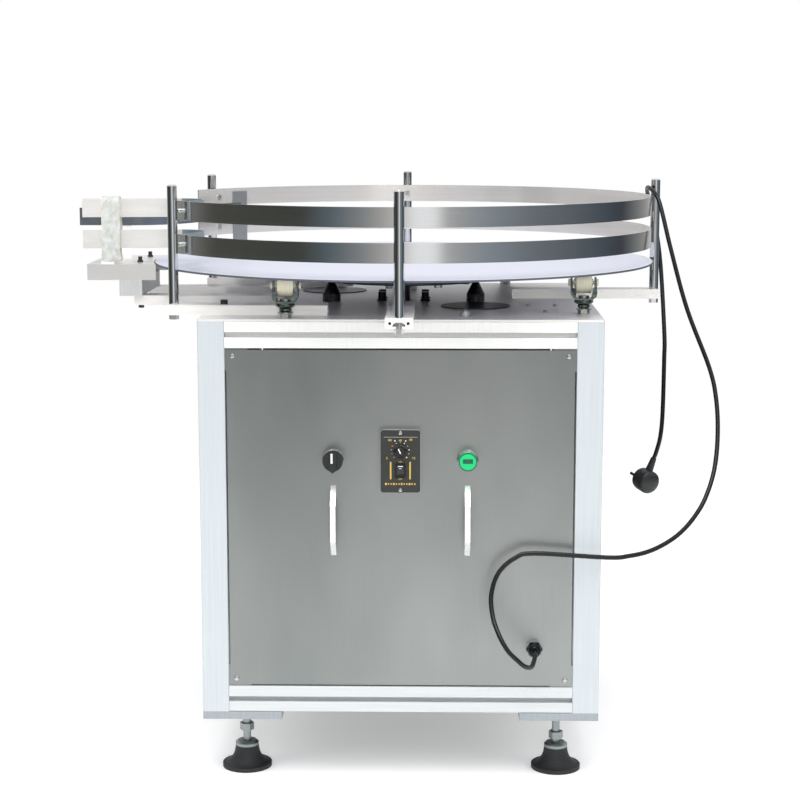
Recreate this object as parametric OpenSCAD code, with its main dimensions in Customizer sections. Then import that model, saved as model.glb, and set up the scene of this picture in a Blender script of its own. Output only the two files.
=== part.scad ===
// Bottle unscrambler: a rotary table with guide rings on a framed cabinet.
// Millimetres, +Z up, front of the cabinet towards -Y, floor at Z = 0.

/* [Cabinet] */
// Width of the cabinet across its front
cab_w = 600; // [580:1:660]
// Depth of the cabinet from front to back
cab_d = 600; // [580:1:660]
// Height of the aluminium frame, without its feet
frame_h = 596; // [520:1:700]
// Side of the square aluminium profile
prof = 40; // [38:1:44]
// Radius on the corners of the profile
prof_round = 2; // [1:0.5:4]
// Radius of the hole along the middle of the profile
core_r = 4; // [3:0.5:5]
// Width of the mouth of a profile slot
slot_w = 8; // [6:0.5:9]
// Thickness of the lips beside a slot mouth
slot_lip = 4.5; // [3:0.5:5]
// Width of a slot behind its lips
slot_in = 18; // [14:1:20]
// Depth of the straight part behind the lips
slot_wall = 3; // [2:0.5:4]
// Depth of a slot from the face to its floor
slot_deep = 12; // [11:0.5:13]
// Width of the floor of a slot
slot_floor = 9; // [7:0.5:11]
// Thickness of the sheet panels
panel_t = 1.5; // [1:0.5:3]
// Gap between a panel and the frame around it
panel_gap = 2.5; // [1.5:0.5:4]
// How far a panel lies behind the face of the frame
panel_set = 2; // [1:0.5:4]
// Side of the corner plates that a panel is screwed to
gusset = 34; // [26:1:44]
// Thickness of the corner plates
gusset_t = 3; // [2:0.5:5]
// Distance of a panel screw from the edges of the panel
screw_in = 9; // [7:1:12]
// Radius of a panel screw head
screw_head_r = 4; // [3:0.5:5]
// Height of a panel screw head
screw_head_h = 2.4; // [1.5:0.1:3]
// Radius of a panel screw shank
screw_r = 2; // [1.5:0.25:2.5]

/* [Feet] */
// Height of the underside of the frame above the floor
foot_h = 107; // [100:1:130]
// Length of a foot plate along the front
foot_plate_w = 120; // [100:1:140]
// Depth of a foot plate
foot_plate_d = 90; // [84:1:100]
// Thickness of a foot plate
foot_plate_t = 12; // [8:1:15]
// Distance of a foot from the inner edge of the frame rail
foot_in = 24; // [22:1:30]
// Radius of the threaded stem
stem_r = 6; // [5:0.5:7]
// Length of stem that stands out above the foot plate
stem_out = 14; // [8:1:20]
// Radius of the rubber base
pad_r = 38; // [32:1:42]
// Height of the rubber base
pad_h = 34; // [28:1:38]
// Height of the straight rim of the rubber base
pad_rim = 6; // [4:1:9]
// Radius of the steel cap on the rubber base
cap_r = 18; // [15:1:21]
// Height of the steel cap
cap_h = 7; // [5:1:9]
// Width across the corners of a foot nut, as a radius
foot_nut_r = 11; // [9:0.5:12]
// Height of a foot nut
foot_nut_h = 11; // [8:0.5:12]
// Height of the nut of a left foot above the floor
nut_z_left = 58; // [50:1:70]
// Height of the nut of a right foot above the floor
nut_z_right = 47; // [45:1:70]
// How far a foot screws out from its stored height
foot_travel = 20; // [10:1:25]

/* [Table top] */
// Thickness of the top plate
plate_t = 3; // [2:0.5:5]
// Radius of the two round holes in the top plate
cover_r = 54; // [46:1:58]
// Width of the rim of a hole cover on the plate
cover_rim = 5; // [3:1:8]
// Thickness of a hole cover above the plate
cover_t = 1.5; // [1:0.5:2.5]
// Height of the disc top above the top plate
disc_up = 66; // [63:1:75]
// Radius of the turntable disc
disc_r = 400; // [392:1:420]
// Thickness of the turntable disc
disc_t = 3; // [2:0.5:4]
// Radius of the drive shaft
shaft_r = 10; // [8:0.5:13]
// Radius of the hub flange
hub_r = 135; // [126:1:145]
// Thickness of the hub flange
hub_t = 12; // [8:1:14]
// Radius of the hub boss that carries the disc
boss_r = 114; // [110:1:120]
// Radius of the bolt circle of the hub
hub_bolt_circle = 102; // [98:1:105]
// Radius of a hub bolt head
hub_bolt_r = 6.5; // [5:0.5:8]
// Height of a hub bolt head
hub_bolt_h = 7; // [5:0.5:8]
// Number of hub bolts
hub_bolts_n = 8; // [4:1:12]
// Drop from the disc underside to the underside of the hub flange
hub_drop = 29; // [26:1:34]
// Radius of the foot of a support cone
cone_r = 14.5; // [12:0.5:17]
// Radius of the tip of a support cone
cone_tip_r = 3.8; // [3:0.2:6]
// Height of the straight foot of a support cone
cone_foot = 12.5; // [9:0.5:15]
// Distance of a support cone from the axis across the front
cone_x = 116; // [105:1:122]
// Distance of a support cone from the axis towards the front
cone_y = 27; // [20:1:40]

/* [Guide rings] */
// Outer radius of the guide rings
ring_r = 397; // [390:1:399]
// Height of a ring band
band_h = 29; // [24:1:34]
// Thickness of a ring band
band_t = 2; // [1.5:0.5:3]
// Gap between the disc and the lower ring band
ring_low = 24; // [18:1:32]
// Height from one ring band to the next
ring_pitch = 50.5; // [42:0.5:60]
// Start of the exit opening in the rings, in degrees
exit_from = 153.5; // [151:0.5:157]
// End of the exit opening in the rings, in degrees
exit_to = 210.5; // [209.5:0.5:213.5]
// Radius of a guard post
post_r = 7.5; // [6:0.5:9]
// Distance of the guard posts outside the rings
post_out = 14; // [12:1:20]
// Height of the guard posts above the disc
post_up = 128; // [118:1:150]
// Radius of the threaded end of a post
post_stud_r = 4; // [3:0.5:5]
// Radius of the nut under a post
post_nut_r = 7.5; // [6:0.5:9]
// Height of the nut under a post
post_nut_h = 8; // [6:0.5:9]
// Width of a support arm
arm_w = 40; // [36:1:44]
// Height of a support arm
arm_h = 15; // [14:1:18]
// Length of a support arm
arm_l = 241; // [220:1:260]
// Length of an arm past its post
arm_over = 8; // [8:1:14]
// Width of the vertical strip that ties the rings
tie_w = 32; // [16:1:36]

/* [Exit lane] */
// How far the tray reaches out past the disc
tray_out = 96; // [84:1:120]
// Width of the tray
tray_w = 192; // [186:1:205]
// Sideways place of the middle of the tray
tray_mid = -9; // [-12:1:-4]
// Height of the turned down edges of the tray
tray_h = 25; // [20:1:28]
// Thickness of the tray sheet
tray_t = 2; // [1.5:0.5:3]
// Drop from the disc top to the tray top
tray_drop = 1; // [0.5:0.5:3]
// How far the near exit rails stand out past the tray
near_out = 9; // [4:1:20]
// How far the far exit rail stands out past the tray
far_out = 44; // [30:1:60]
// Inset of the near rails from the front edge of the tray
near_inset = 20; // [18:1:26]
// How far the near rails lean towards the lane up to their nose
near_slope = 14; // [4:1:18]
// Inset of the far rail from the rear edge of the tray
far_inset = 8; // [6:1:12]
// How much lower than the rings the near rails hang
near_lower = 3; // [2:0.5:8]
// Radius of the rounded nose of the near rails
nose_r = 38; // [34:1:42]
// Distance of the middle of the nose inside the rings
nose_in = 47; // [42:1:52]
// Width of a bar that holds the exit rails
bar_w = 20; // [16:1:22]
// Thickness of a bar that holds the exit rails
bar_t = 3; // [2:0.5:4]
// Distance of the bars from the ends of the near rails
bar_in = 40; // [36:1:48]
// Length of the foot of a bar on the tray
bar_foot = 14; // [10:1:16]
// Width of the soft wrap round the near bar
wrap_w = 28; // [24:1:32]
// Thickness of the soft wrap
wrap_t = 4; // [3:0.5:5]
// Inset of the tray arms from the outer side of the channel
tray_arm_back = 22; // [14:1:30]
// Length of the two arms that carry the tray
tray_arm_l = 236; // [200:1:260]
// Inset of the near tray arm from the front edge of the tray
tray_arm_in = 27; // [24:1:40]
// Distance between the two tray arms
tray_arm_pitch = 154; // [135:1:158]
// Width of the channel under the tray
channel_w = 36; // [30:1:40]
// Inset of the channel from the outer end of the tray
channel_in = 50; // [44:1:58]

/* [Casters] */
// Radius of a caster wheel
wheel_r = 16.2; // [14:0.1:17]
// Width of a caster wheel
wheel_w = 24; // [20:1:26]
// Radius of a caster axle
axle_r = 3; // [2.5:0.25:4]
// Distance of the wheel axle from the swivel axis
trail = 12; // [10:0.5:14]
// Thickness of the pressed fork
fork_t = 2.5; // [2:0.25:3]
// Gap between a wheel and the fork on each side
fork_gap = 4.8; // [3:0.2:6]
// Radius of the swivel stud
swivel_r = 5; // [4:0.5:6]
// Width across the corners of a caster nut, as a radius
caster_nut_r = 9; // [8:0.5:10]
// Height of a caster nut
caster_nut_h = 7; // [4:0.5:8]
// Radius of the swivel bearing
race_r = 14.5; // [12:0.5:16]

/* [Controls] */
// Width of the speed controller face
ctrl_w = 60; // [54:1:66]
// Height of the speed controller face
ctrl_h = 95; // [88:1:106]
// Thickness of the speed controller face
ctrl_t = 9; // [6:0.5:12]
// Drop from the top of the frame to the middle of the controller
ctrl_drop = 207.5; // [190:0.5:230]
// Radius of the speed knob
knob_r = 10; // [8:0.5:11]
// Height of the speed knob
knob_h = 14; // [10:1:18]
// Height of the knob axis above the middle of the controller
knob_up = 15.5; // [12:0.5:18]
// Drop from the middle of the controller to the rocker
rocker_down = 13.5; // [13:0.5:18]
// Width of the rocker
rocker_w = 11; // [9:0.5:12]
// Height of the rocker
rocker_h = 17; // [14:0.5:18]
// Distance of the selector and the lamp from the middle
side_x = 100; // [80:1:120]
// Drop from the top of the frame to the selector and the lamp
side_drop = 206.5; // [190:0.5:230]
// Radius of the selector and lamp bezels
bezel_r = 16; // [14:0.5:18]
// Thickness of the bezels
bezel_t = 6; // [4:0.5:8]
// Radius of the threaded barrel behind a bezel
barrel_r = 11; // [9:0.5:12]
// Length of the threaded barrel behind the panel
barrel_l = 42; // [30:1:60]
// Radius of the selector knob
selector_r = 15; // [12:0.5:15.5]
// Width of a handle's flat bar
handle_w = 8; // [6:0.5:10]
// Thickness of a handle's flat bar
handle_t = 6; // [4:0.5:7]
// Distance between the two feet of a handle
handle_l = 98; // [90:1:120]
// Length of the straight grip between the bends of a handle
handle_grip = 50; // [40:1:60]
// Distance of the front of the grip from the panel
handle_out = 25; // [22:1:32]
// Drop from the top of the frame to the middle of the handles
handle_drop = 299; // [285:1:310]

/* [Drive] */
// Width of the gearbox across the front
gear_w = 124; // [115:1:135]
// Depth of the gearbox from front to back
gear_d = 96; // [90:1:110]
// Height of the gearbox case under its flange
gear_h = 92; // [85:1:110]
// Thickness of the gearbox flange
gear_flange = 10; // [8:1:12]
// Radius of the worm tube
worm_r = 30; // [26:1:34]
// Radius of the motor body
motor_r = 44; // [38:1:46]
// Length of the motor body
motor_l = 118; // [100:1:130]
// Radius of the motor flange
motor_flange_r = 52; // [50:1:53]
// Thickness of the motor flange
motor_flange_t = 8; // [6:1:10]
// Radius of the fan cover
fan_r = 42; // [36:1:46]
// Length of the fan cover
fan_l = 34; // [26:1:38]
// Number of fins round the motor
fin_n = 20; // [12:2:24]

/* [Cable] */
// Radius of the ring under the gland
gland_ring_r = 14; // [13:0.5:16]
// Radius across the corners of the gland nut
gland_nut_r = 12.5; // [11:0.5:13]
// Radius of the plug body
plug_r = 19; // [17:0.5:21]
// Length of the plug body
plug_l = 22; // [18:1:26]
// Length of the strain relief on the plug
relief_l = 22; // [18:1:26]

/* [Hidden] */
$fn = 48;
hull_fn = 32;
over = 1;
fit_gap = 0.05;
seat_gap = 0.1;
turn_gap = 0.4;

// Reaches from the axis of the disc, all built up from the disc and the rings
post_circle = ring_r + post_out;
tray_reach = disc_r + tray_out;
near_reach = tray_reach + near_out;
far_reach = tray_reach + far_out;
channel_reach = tray_reach - channel_in;
tray_arm_reach = channel_reach - tray_arm_back;

// The cord is a soft part of one size that leaves the front at one place
cable_r = 3.5;
gland_x = 201.6;
gland_z = 208;

frame_top = foot_h + frame_h;
plate_top = frame_top + plate_t;
disc_top = plate_top + disc_up;
disc_low = disc_top - disc_t;
hub_low = disc_low - hub_drop;
arm_top = plate_top + arm_h;
post_top = disc_top + post_up;
band_low_z = disc_top + ring_low;
band_high_z = band_low_z + ring_pitch;
panel_y = -cab_d / 2 + panel_set;
panel_back = panel_y + panel_t;
clear_w = cab_w - 2 * prof;
clear_d = cab_d - 2 * prof;
clear_h = frame_h - 2 * prof;

function on_circle(r, a) = [r * cos(a), r * sin(a)];

// Angles of the guard posts, seen from above, with the front at -90
post_angles = [-90, 5.3, 90, 145.3, -146.7];
arm_turns = [90, 180, -90, 0, 0];
right_post = on_circle(post_circle, post_angles[1]);
arm_reach = right_post[0] + arm_over;
// The origin lies midway between the far rail and the right arm
axis_x = (far_reach - arm_reach) / 2;

// Places of the casters and hole covers, as shares of half the cabinet
caster_shares = [[-0.57, -0.92], [0.917, -0.717], [-0.917, 0.92], [0.583, 0.92]];
cover_shares = [[-0.4, 0.5], [0.38, -0.35]];
screw_shares = [[0.66, -0.32], [0.8, -0.32], [0.73, -0.62]];
function on_plate(share) = [share[0] * cab_w / 2, share[1] * cab_d / 2];

// Signs of the cabinet corners, going round from the front left
corner_x = [-1, 1, 1, -1];
corner_y = [-1, -1, 1, 1];

tray_top = disc_top - tray_drop;
tray_low = tray_top - tray_h;
tray_front = tray_mid - tray_w / 2;
tray_rear = tray_mid + tray_w / 2;
tray_gap = 2;
tray_arm_y = [tray_front + tray_arm_in, tray_front + tray_arm_in + tray_arm_pitch];
channel_t = 3;
tray_bolt_r = 4;
tray_bolt_h = 9;
tray_bolt_in = 44;
tray_bolt_pitch = 107;
tray_bolt_x = -channel_reach + channel_w * 0.75;

clamp_bolt_r = 5.5;
clamp_bolt_h = 6.5;
clamp_bolt_in = 84;
clamp_bolts = [2, 0, 2, 1, 1];
clamp_bolt_pitch = 110;
clamp_socket_r = 3;
tray_nut_r = 4.5;
tray_nut_h = 6;
arm_lip = 3;
arm_slot_in = 18;
arm_slot_wall = 3;
arm_slot_deep = 9;
arm_core_r = 2.2;
arm_core_x = 13;

gear_bolt_x = 35;
gear_bolt_y = 20;
gear_bolt_r = 6;
gear_bolt_h = 12;
gear_washer_r = 8;
gear_washer_h = 2.5;
gear_shank_r = 4;
fin_h = 3;
fin_t = 2.5;
box_w = 56;
box_h = 34;
box_l = 64;
motor_z = frame_top - gear_flange - gear_h / 2;

gland_ring_h = 1.5;
gland_nut_h = 6;
gland_dome_h = 14;
gland_tip_r = 6;
gland_end = panel_y - gland_ring_h - gland_nut_h - gland_dome_h;

caster_base = plate_top + caster_nut_h;
washer_t = 1.5;
race_h = 13;
fork_z = caster_base + washer_t + race_h + turn_gap;
wheel_z = disc_low - turn_gap - wheel_r;
fork_half = wheel_w / 2 + fork_gap + fork_t;
fork_rim = fork_t + fork_gap * 0.9;
fork_reach = trail + axle_r * 2.4;
fork_front = race_r * 0.86;
kingpin_r = 8;
kingpin_h = 3;
kingpin_z = fork_z + fork_t + turn_gap;

module place() translate([axis_x, 0, 0]) children();

// Outline of a square with round corners
module round_square(w, h, r) {
    square([w - 2 * r, h], center = true);
    square([w, h - 2 * r], center = true);
    for (x = [-1, 1], y = [-1, 1])
        translate([x * (w / 2 - r), y * (h / 2 - r)]) circle(r);
}

// Plate lying against a wall that faces the front
module front_plate(w, h, t, r)
    rotate([90, 0, 0]) linear_extrude(t) round_square(w, h, r);

// Cylinder that points to the front
module front_rod(r, l) rotate([90, 0, 0]) cylinder(r = r, h = l);

// One T shaped slot in the side of the profile that faces -Y
module slot_2d() {
    lip_y = -prof / 2 + slot_lip;
    translate([0, -prof / 2])
        polygon([[-slot_w / 2, -over], [slot_w / 2, -over], [slot_w / 2, slot_lip],
            [slot_in / 2, slot_lip], [slot_in / 2, slot_lip + slot_wall],
            [slot_floor / 2, slot_deep], [-slot_floor / 2, slot_deep],
            [-slot_in / 2, slot_lip + slot_wall], [-slot_in / 2, slot_lip],
            [-slot_w / 2, slot_lip]]);
}

// Square profile with slots on the sides named by quarter turns
module profile(l, sides)
    linear_extrude(l) difference() {
        round_square(prof, prof, prof_round);
        circle(core_r);
        for (side = sides) rotate(90 * side) slot_2d();
    }

// Flat extrusion of an arm along +X, with its slot underneath
module arm(l)
    rotate([90, 0, 90]) linear_extrude(l) difference() {
        translate([-arm_w / 2, 0]) square([arm_w, arm_h]);
        polygon([[-slot_w / 2, -over], [slot_w / 2, -over], [slot_w / 2, arm_lip],
            [arm_slot_in / 2, arm_lip], [arm_slot_in / 2, arm_lip + arm_slot_wall],
            [slot_floor / 2, arm_slot_deep], [-slot_floor / 2, arm_slot_deep],
            [-arm_slot_in / 2, arm_lip + arm_slot_wall], [-arm_slot_in / 2, arm_lip],
            [-slot_w / 2, arm_lip]]);
        for (x = [-1, 1]) translate([x * arm_core_x, arm_h / 2]) circle(arm_core_r);
    }

module corner_posts() color("silver") place()
    for (i = [0:3])
        translate([corner_x[i] * (cab_w - prof) / 2, corner_y[i] * (cab_d - prof) / 2, foot_h])
            rotate(90 * i) profile(frame_h, [1, 2]);

// The four rails between the posts, with their axis at the height z
module rail_ring(z) {
    for (side = [-1, 1]) {
        translate([-clear_w / 2, side * (cab_d - prof) / 2, z])
            rotate([0, 90, 0]) profile(clear_w, [0, 1, 2, 3]);
        translate([side * (cab_w - prof) / 2, clear_d / 2, z])
            rotate([90, 0, 0]) profile(clear_d, [0, 1, 2, 3]);
    }
}

module top_rails() color("silver") place() rail_ring(frame_top - prof / 2);

module bottom_rails() color("silver") place() rail_ring(foot_h + prof / 2);

foot_x = cab_w / 2 - foot_plate_w / 2;
foot_y = cab_d / 2 - prof - foot_in;
plate_low = foot_h - foot_plate_t;

module foot_plates() color("gainsboro") place()
    for (i = [0:3])
        difference() {
            translate([corner_x[i] * foot_x, corner_y[i] * (cab_d - foot_plate_d) / 2, plate_low])
                linear_extrude(foot_plate_t) round_square(foot_plate_w, foot_plate_d, prof_round);
            translate([corner_x[i] * foot_x, corner_y[i] * foot_y, plate_low - over])
                cylinder(r = stem_r + fit_gap, h = foot_plate_t + 2 * over);
        }

// Threaded stem with its jam nut and steel cap
module foot_stem(i) {
    nut_z = corner_x[i] < 0 ? nut_z_left : nut_z_right;
    color("silver") place() translate([corner_x[i] * foot_x, corner_y[i] * foot_y, pad_h]) {
        cylinder(r = stem_r, h = foot_h + stem_out - pad_h);
        rotate_extrude() polygon([[0, 0], [cap_r, 0], [cap_r, cap_h * 0.6],
            [cap_r * 0.8, cap_h], [0, cap_h]]);
        translate([0, 0, nut_z - pad_h]) cylinder(r = foot_nut_r, h = foot_nut_h, $fn = 6);
    }
}

// Bell shaped rubber base with a curved flank
flank_steps = 8;
module foot_pad(i) {
    rise = pad_h - pad_rim;
    run = pad_r - cap_r;
    flank = [for (k = [0:flank_steps]) let (a = 90 * k / flank_steps)
        [cap_r + run * (1 - sin(a)), pad_rim + rise * (1 - cos(a))]];
    color("dimgray") place() translate([corner_x[i] * foot_x, corner_y[i] * foot_y, 0])
        rotate_extrude() polygon(concat([[0, 0], [pad_r, 0]], flank, [[0, pad_h]]));
}

// Holes that the front panel needs for its fittings
ctrl_z = frame_top - ctrl_drop;
side_z = frame_top - side_drop;
handle_z = frame_top - handle_drop;
ctrl_rim = 7;
body_w = ctrl_w - 2 * ctrl_rim;
body_h = ctrl_h - 2 * ctrl_rim;
body_l = 58;
hole_gap = 0.3;
ctrl_screw_z = ctrl_h / 2 - 0.65 * ctrl_rim;

module panel_sheet(w, h) {
    difference() {
        front_plate(w - 2 * panel_gap, h - 2 * panel_gap, panel_t, panel_gap);
        for (x = [-1, 1], z = [-1, 1])
            translate([x * (w / 2 - panel_gap - screw_in), over, z * (h / 2 - panel_gap - screw_in)])
                front_rod(screw_r + hole_gap, panel_t + 2 * over);
    }
}

mid_z = foot_h + frame_h / 2;
module front_panel() color("lightgray") place() difference() {
    translate([0, panel_back, mid_z]) panel_sheet(clear_w, clear_h);
    translate([0, panel_back + over, ctrl_z])
        front_plate(body_w + 2 * hole_gap, body_h + 2 * hole_gap, panel_t + 2 * over, prof_round);
    for (x = [-1, 1]) translate([x * side_x, panel_back + over, side_z])
        front_rod(barrel_r + hole_gap, panel_t + 2 * over);
    translate([gland_x, panel_back + over, gland_z])
        front_rod(gland_nut_r * 0.7 + hole_gap, panel_t + 2 * over);
}

module rear_panel() color("lightgray") place() rotate(180)
    translate([0, panel_back, mid_z]) panel_sheet(clear_w, clear_h);

side_face = cab_w / 2 - panel_set - panel_t;
module side_panels() color("lightgray") place()
    for (turn = [90, -90]) rotate(turn)
        translate([0, -side_face, mid_z]) panel_sheet(clear_d, clear_h);

// Corner plates of one opening, behind the panel
module corner_plates(w, h) difference() {
    for (x = [-1, 1], z = [-1, 1])
        translate([x * (w - gusset) / 2, gusset_t, z * (h - gusset) / 2])
            rotate([90, 0, 0]) linear_extrude(gusset_t) square(gusset, center = true);
    for (x = [-1, 1], z = [-1, 1])
        translate([x * (w / 2 - panel_gap - screw_in), gusset_t + over,
                z * (h / 2 - panel_gap - screw_in)])
            front_rod(screw_r + hole_gap, gusset_t + 2 * over);
}

module panel_gussets() color("gray") place() {
    for (turn = [0, 180]) rotate(turn) translate([0, panel_back, mid_z]) corner_plates(clear_w, clear_h);
    for (turn = [90, -90]) rotate(turn) translate([0, -side_face, mid_z]) corner_plates(clear_d, clear_h);
}

// Pan head screw that points to the back, with its head on the wall
module pan_screw(r, head_r, head_h, l) {
    translate([0, l, 0]) front_rod(r, l);
    rotate([90, 0, 0]) rotate_extrude()
        polygon([[0, 0], [head_r, 0], [head_r, head_h * 0.35], [head_r * 0.8, head_h * 0.8],
            [head_r * 0.4, head_h], [0, head_h]]);
}

module screw_set(w, h)
    for (x = [-1, 1], z = [-1, 1])
        translate([x * (w / 2 - panel_gap - screw_in), 0, z * (h / 2 - panel_gap - screw_in)])
            pan_screw(screw_r, screw_head_r, screw_head_h, panel_t + gusset_t);

module panel_screws() color("silver") place() {
    for (z = [-1, 1]) translate([0, panel_y - ctrl_t, ctrl_z + z * ctrl_screw_z])
        pan_screw(screw_r, screw_head_r * 0.8, screw_head_h, ctrl_t);
    for (turn = [0, 180]) rotate(turn) translate([0, panel_y, mid_z]) screw_set(clear_w, clear_h);
    for (turn = [90, -90]) rotate(turn)
        translate([0, -side_face - panel_t, mid_z]) screw_set(clear_d, clear_h);
}

module top_plate() color("lightgray") place() difference() {
    translate([0, 0, frame_top]) linear_extrude(plate_t) round_square(cab_w, cab_d, prof_round);
    translate([0, 0, frame_top - over]) {
        cylinder(r = shaft_r * 1.5, h = plate_t + 2 * over);
        for (share = cover_shares) translate(on_plate(share))
            cylinder(r = cover_r - cover_rim + hole_gap, h = plate_t + 2 * over);
        for (x = [-1, 1], y = [-1, 1]) translate([x * gear_bolt_x, y * gear_bolt_y])
            cylinder(r = gear_shank_r + hole_gap, h = plate_t + 2 * over);
        for (share = caster_shares) translate(on_plate(share))
            cylinder(r = swivel_r + hole_gap, h = plate_t + 2 * over);
        for (share = screw_shares) translate(on_plate(share))
            cylinder(r = screw_r + hole_gap, h = plate_t + 2 * over);
    }
}

module hole_covers() color("black") place()
    for (share = cover_shares) translate(on_plate(share)) {
        translate([0, 0, plate_top]) cylinder(r = cover_r, h = cover_t);
        translate([0, 0, frame_top]) cylinder(r = cover_r - cover_rim, h = plate_t + cover_t);
    }

module support_cones() color("dimgray") place()
    for (x = [-1, 1]) translate([x * cone_x, -cone_y, plate_top])
        rotate_extrude() polygon([[0, 0], [cone_r, 0], [cone_r, cone_foot],
            [cone_tip_r, hub_low - turn_gap - plate_top], [0, hub_low - turn_gap - plate_top]]);

// Bolts on the top plate: gearbox bolts, small screws and one domed bolt
dome_share = [0.32, -0.826];
dome_r = 8;
dome_h = 11;
module plate_bolts() color("dimgray") place() {
    for (x = [-1, 1], y = [-1, 1]) translate([x * gear_bolt_x, y * gear_bolt_y, plate_top]) {
        cylinder(r = gear_washer_r, h = gear_washer_h);
        difference() {
            cylinder(r = gear_bolt_r, h = gear_washer_h + gear_bolt_h);
            translate([0, 0, gear_washer_h + gear_bolt_h / 2])
                cylinder(r = gear_bolt_r / 2, h = gear_bolt_h, $fn = 6);
        }
        translate([0, 0, -gear_shank_l]) cylinder(r = gear_shank_r, h = gear_shank_l);
    }
    for (share = screw_shares) translate(concat(on_plate(share), plate_top))
        rotate([-90, 0, 0]) pan_screw(screw_r, screw_head_r, screw_head_h, plate_t);
    translate(concat(on_plate(dome_share), plate_top)) rotate_extrude()
        polygon(concat([[0, 0]], [for (k = [0:flank_steps]) let (a = 90 * k / flank_steps)
            [dome_r * cos(a), dome_h * sin(a)]]));
}

// An arm at a post: the outer end lies past the post and the arm points inwards
module at_post(i) translate(concat(on_circle(post_circle, post_angles[i]), 0)) rotate(arm_turns[i])
    translate([-arm_over, 0, 0]) children();

module support_arms() color("silver") place() {
    for (i = [0:len(post_angles) - 1]) difference() {
        translate([0, 0, plate_top]) at_post(i) arm(arm_l);
        translate(concat(on_circle(post_circle, post_angles[i]), plate_top - over))
            cylinder(r = post_stud_r + hole_gap, h = arm_h + 2 * over);
    }
    for (y = tray_arm_y) translate([-tray_arm_reach, y, plate_top]) arm(tray_arm_l);
}

// Socket screws on the arms and the nut of each guard post
module clamp_bolt() difference() {
    cylinder(r = clamp_bolt_r, h = clamp_bolt_h);
    translate([0, 0, clamp_bolt_h / 2]) cylinder(r = clamp_socket_r, h = clamp_bolt_h, $fn = 6);
}

module arm_bolts() color("dimgray") place() {
    for (i = [0:len(post_angles) - 1]) {
        for (k = [0:1:clamp_bolts[i] - 1]) translate([0, 0, arm_top]) at_post(i)
            translate([clamp_bolt_in + k * clamp_bolt_pitch, 0, 0]) clamp_bolt();
    }
    for (y = tray_arm_y) translate([-tray_arm_reach + arm_over, y, plate_top - tray_nut_h])
        cylinder(r = tray_nut_r, h = tray_nut_h, $fn = 6);
    for (k = [0, 1]) translate([tray_bolt_x, tray_front + tray_bolt_in + k * tray_bolt_pitch, 0]) {
        translate([0, 0, tray_low - 2 * channel_t])
            cylinder(r = tray_bolt_r * 0.8, h = tray_top + tray_bolt_h - tray_low + 2 * channel_t);
        translate([0, 0, tray_top]) cylinder(r = tray_bolt_r * 1.15, h = tray_bolt_h / 3, $fn = 6);
    }
}

post_tip = 2;
module guard_posts() color("silver") place()
    for (a = post_angles) translate(on_circle(post_circle, a)) {
        translate([0, 0, arm_top]) rotate_extrude() polygon([[0, 0], [post_r, 0],
            [post_r, post_top - arm_top - post_tip], [post_r - post_tip, post_top - arm_top],
            [0, post_top - arm_top]]);
        translate([0, 0, plate_top - post_nut_h]) {
            cylinder(r = post_stud_r, h = arm_h + post_nut_h + over);
            cylinder(r = post_nut_r, h = post_nut_h, $fn = 6);
        }
    }

// Wedge that leaves the rings open towards the exit
module exit_wedge(h) {
    mid = (exit_from + exit_to) / 2;
    reach = 2 * ring_r;
    linear_extrude(h) polygon(concat([[0, 0]],
        [for (a = [exit_from, mid, exit_to]) on_circle(reach, a)]));
}

module ring_band(z) translate([0, 0, z]) difference() {
    cylinder(r = ring_r, h = band_h, $fn = 180);
    translate([0, 0, -over]) cylinder(r = ring_r - band_t, h = band_h + 2 * over, $fn = 180);
    translate([0, 0, -over]) exit_wedge(band_h + 2 * over);
}

module upper_ring() color("silver") place() ring_band(band_high_z);

module lower_ring() color("silver") place() ring_band(band_low_z);

// A spacer and a screw where each band meets a post
spacer_r = 3.5;
spacer_l = post_circle - post_r - ring_r - 2 * seat_gap;
ring_screw_r = 4.5;
ring_screw_h = 2;
module ring_fixings() color("gray") place()
    for (a = post_angles, z = [band_low_z, band_high_z])
        rotate(a) translate([0, 0, z + band_h / 2]) rotate([0, 90, 0]) {
            translate([0, 0, ring_r + seat_gap]) cylinder(r = spacer_r, h = spacer_l);
            translate([0, 0, ring_r - band_t - ring_screw_h - seat_gap])
                cylinder(r = ring_screw_r, h = ring_screw_h);
        }

// Vertical strip inside the rings that carries the far rail
tie_a = 138;
tie_t = 2;
tie_inset = 6;
tie_low = disc_top + tie_inset;
ring_in = ring_r - band_t;
tie_r = sqrt(ring_in * ring_in - tie_w * tie_w / 4) - 2 * seat_gap;
module ring_tie() color("silver") place() rotate(tie_a)
    translate([tie_r - tie_t, -tie_w / 2, tie_low])
        cube([tie_t, tie_w, band_high_z + band_h - tie_inset - tie_low]);

// Outline of a strip of thickness t whose left side follows the points
function unit(v) = v / norm(v);
function left_of(p, i) = let (a = p[max(i - 1, 0)], b = p[min(i + 1, len(p) - 1)], d = unit(b - a))
    [-d[1], d[0]];
function strip_outline(p, t) = concat(p,
    [for (i = [len(p) - 1:-1:0]) p[i] + t * left_of(p, i)]);

near_y = tray_front + near_inset;
nose_x = -(ring_in - nose_in);
nose_y = near_y + near_slope - nose_r;
nose_steps = 12;
nose_from_a = 90;
nose_to_a = -12;
near_end = on_circle(ring_in - 2 * band_t, exit_to + 0.2);
near_points = concat([[-near_reach, near_y]],
    [for (k = [0:nose_steps]) let (a = nose_from_a + (nose_to_a - nose_from_a) * k / nose_steps)
        [nose_x + nose_r * cos(a), nose_y + nose_r * sin(a)]],
    [near_end]);
near_low_z = [band_low_z - near_lower / 2, band_high_z - near_lower];
near_h = band_h;

module near_exit_rails() color("whitesmoke") place()
    for (z = near_low_z) translate([0, 0, z]) linear_extrude(near_h)
        polygon(strip_outline(near_points, -band_t));

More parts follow.
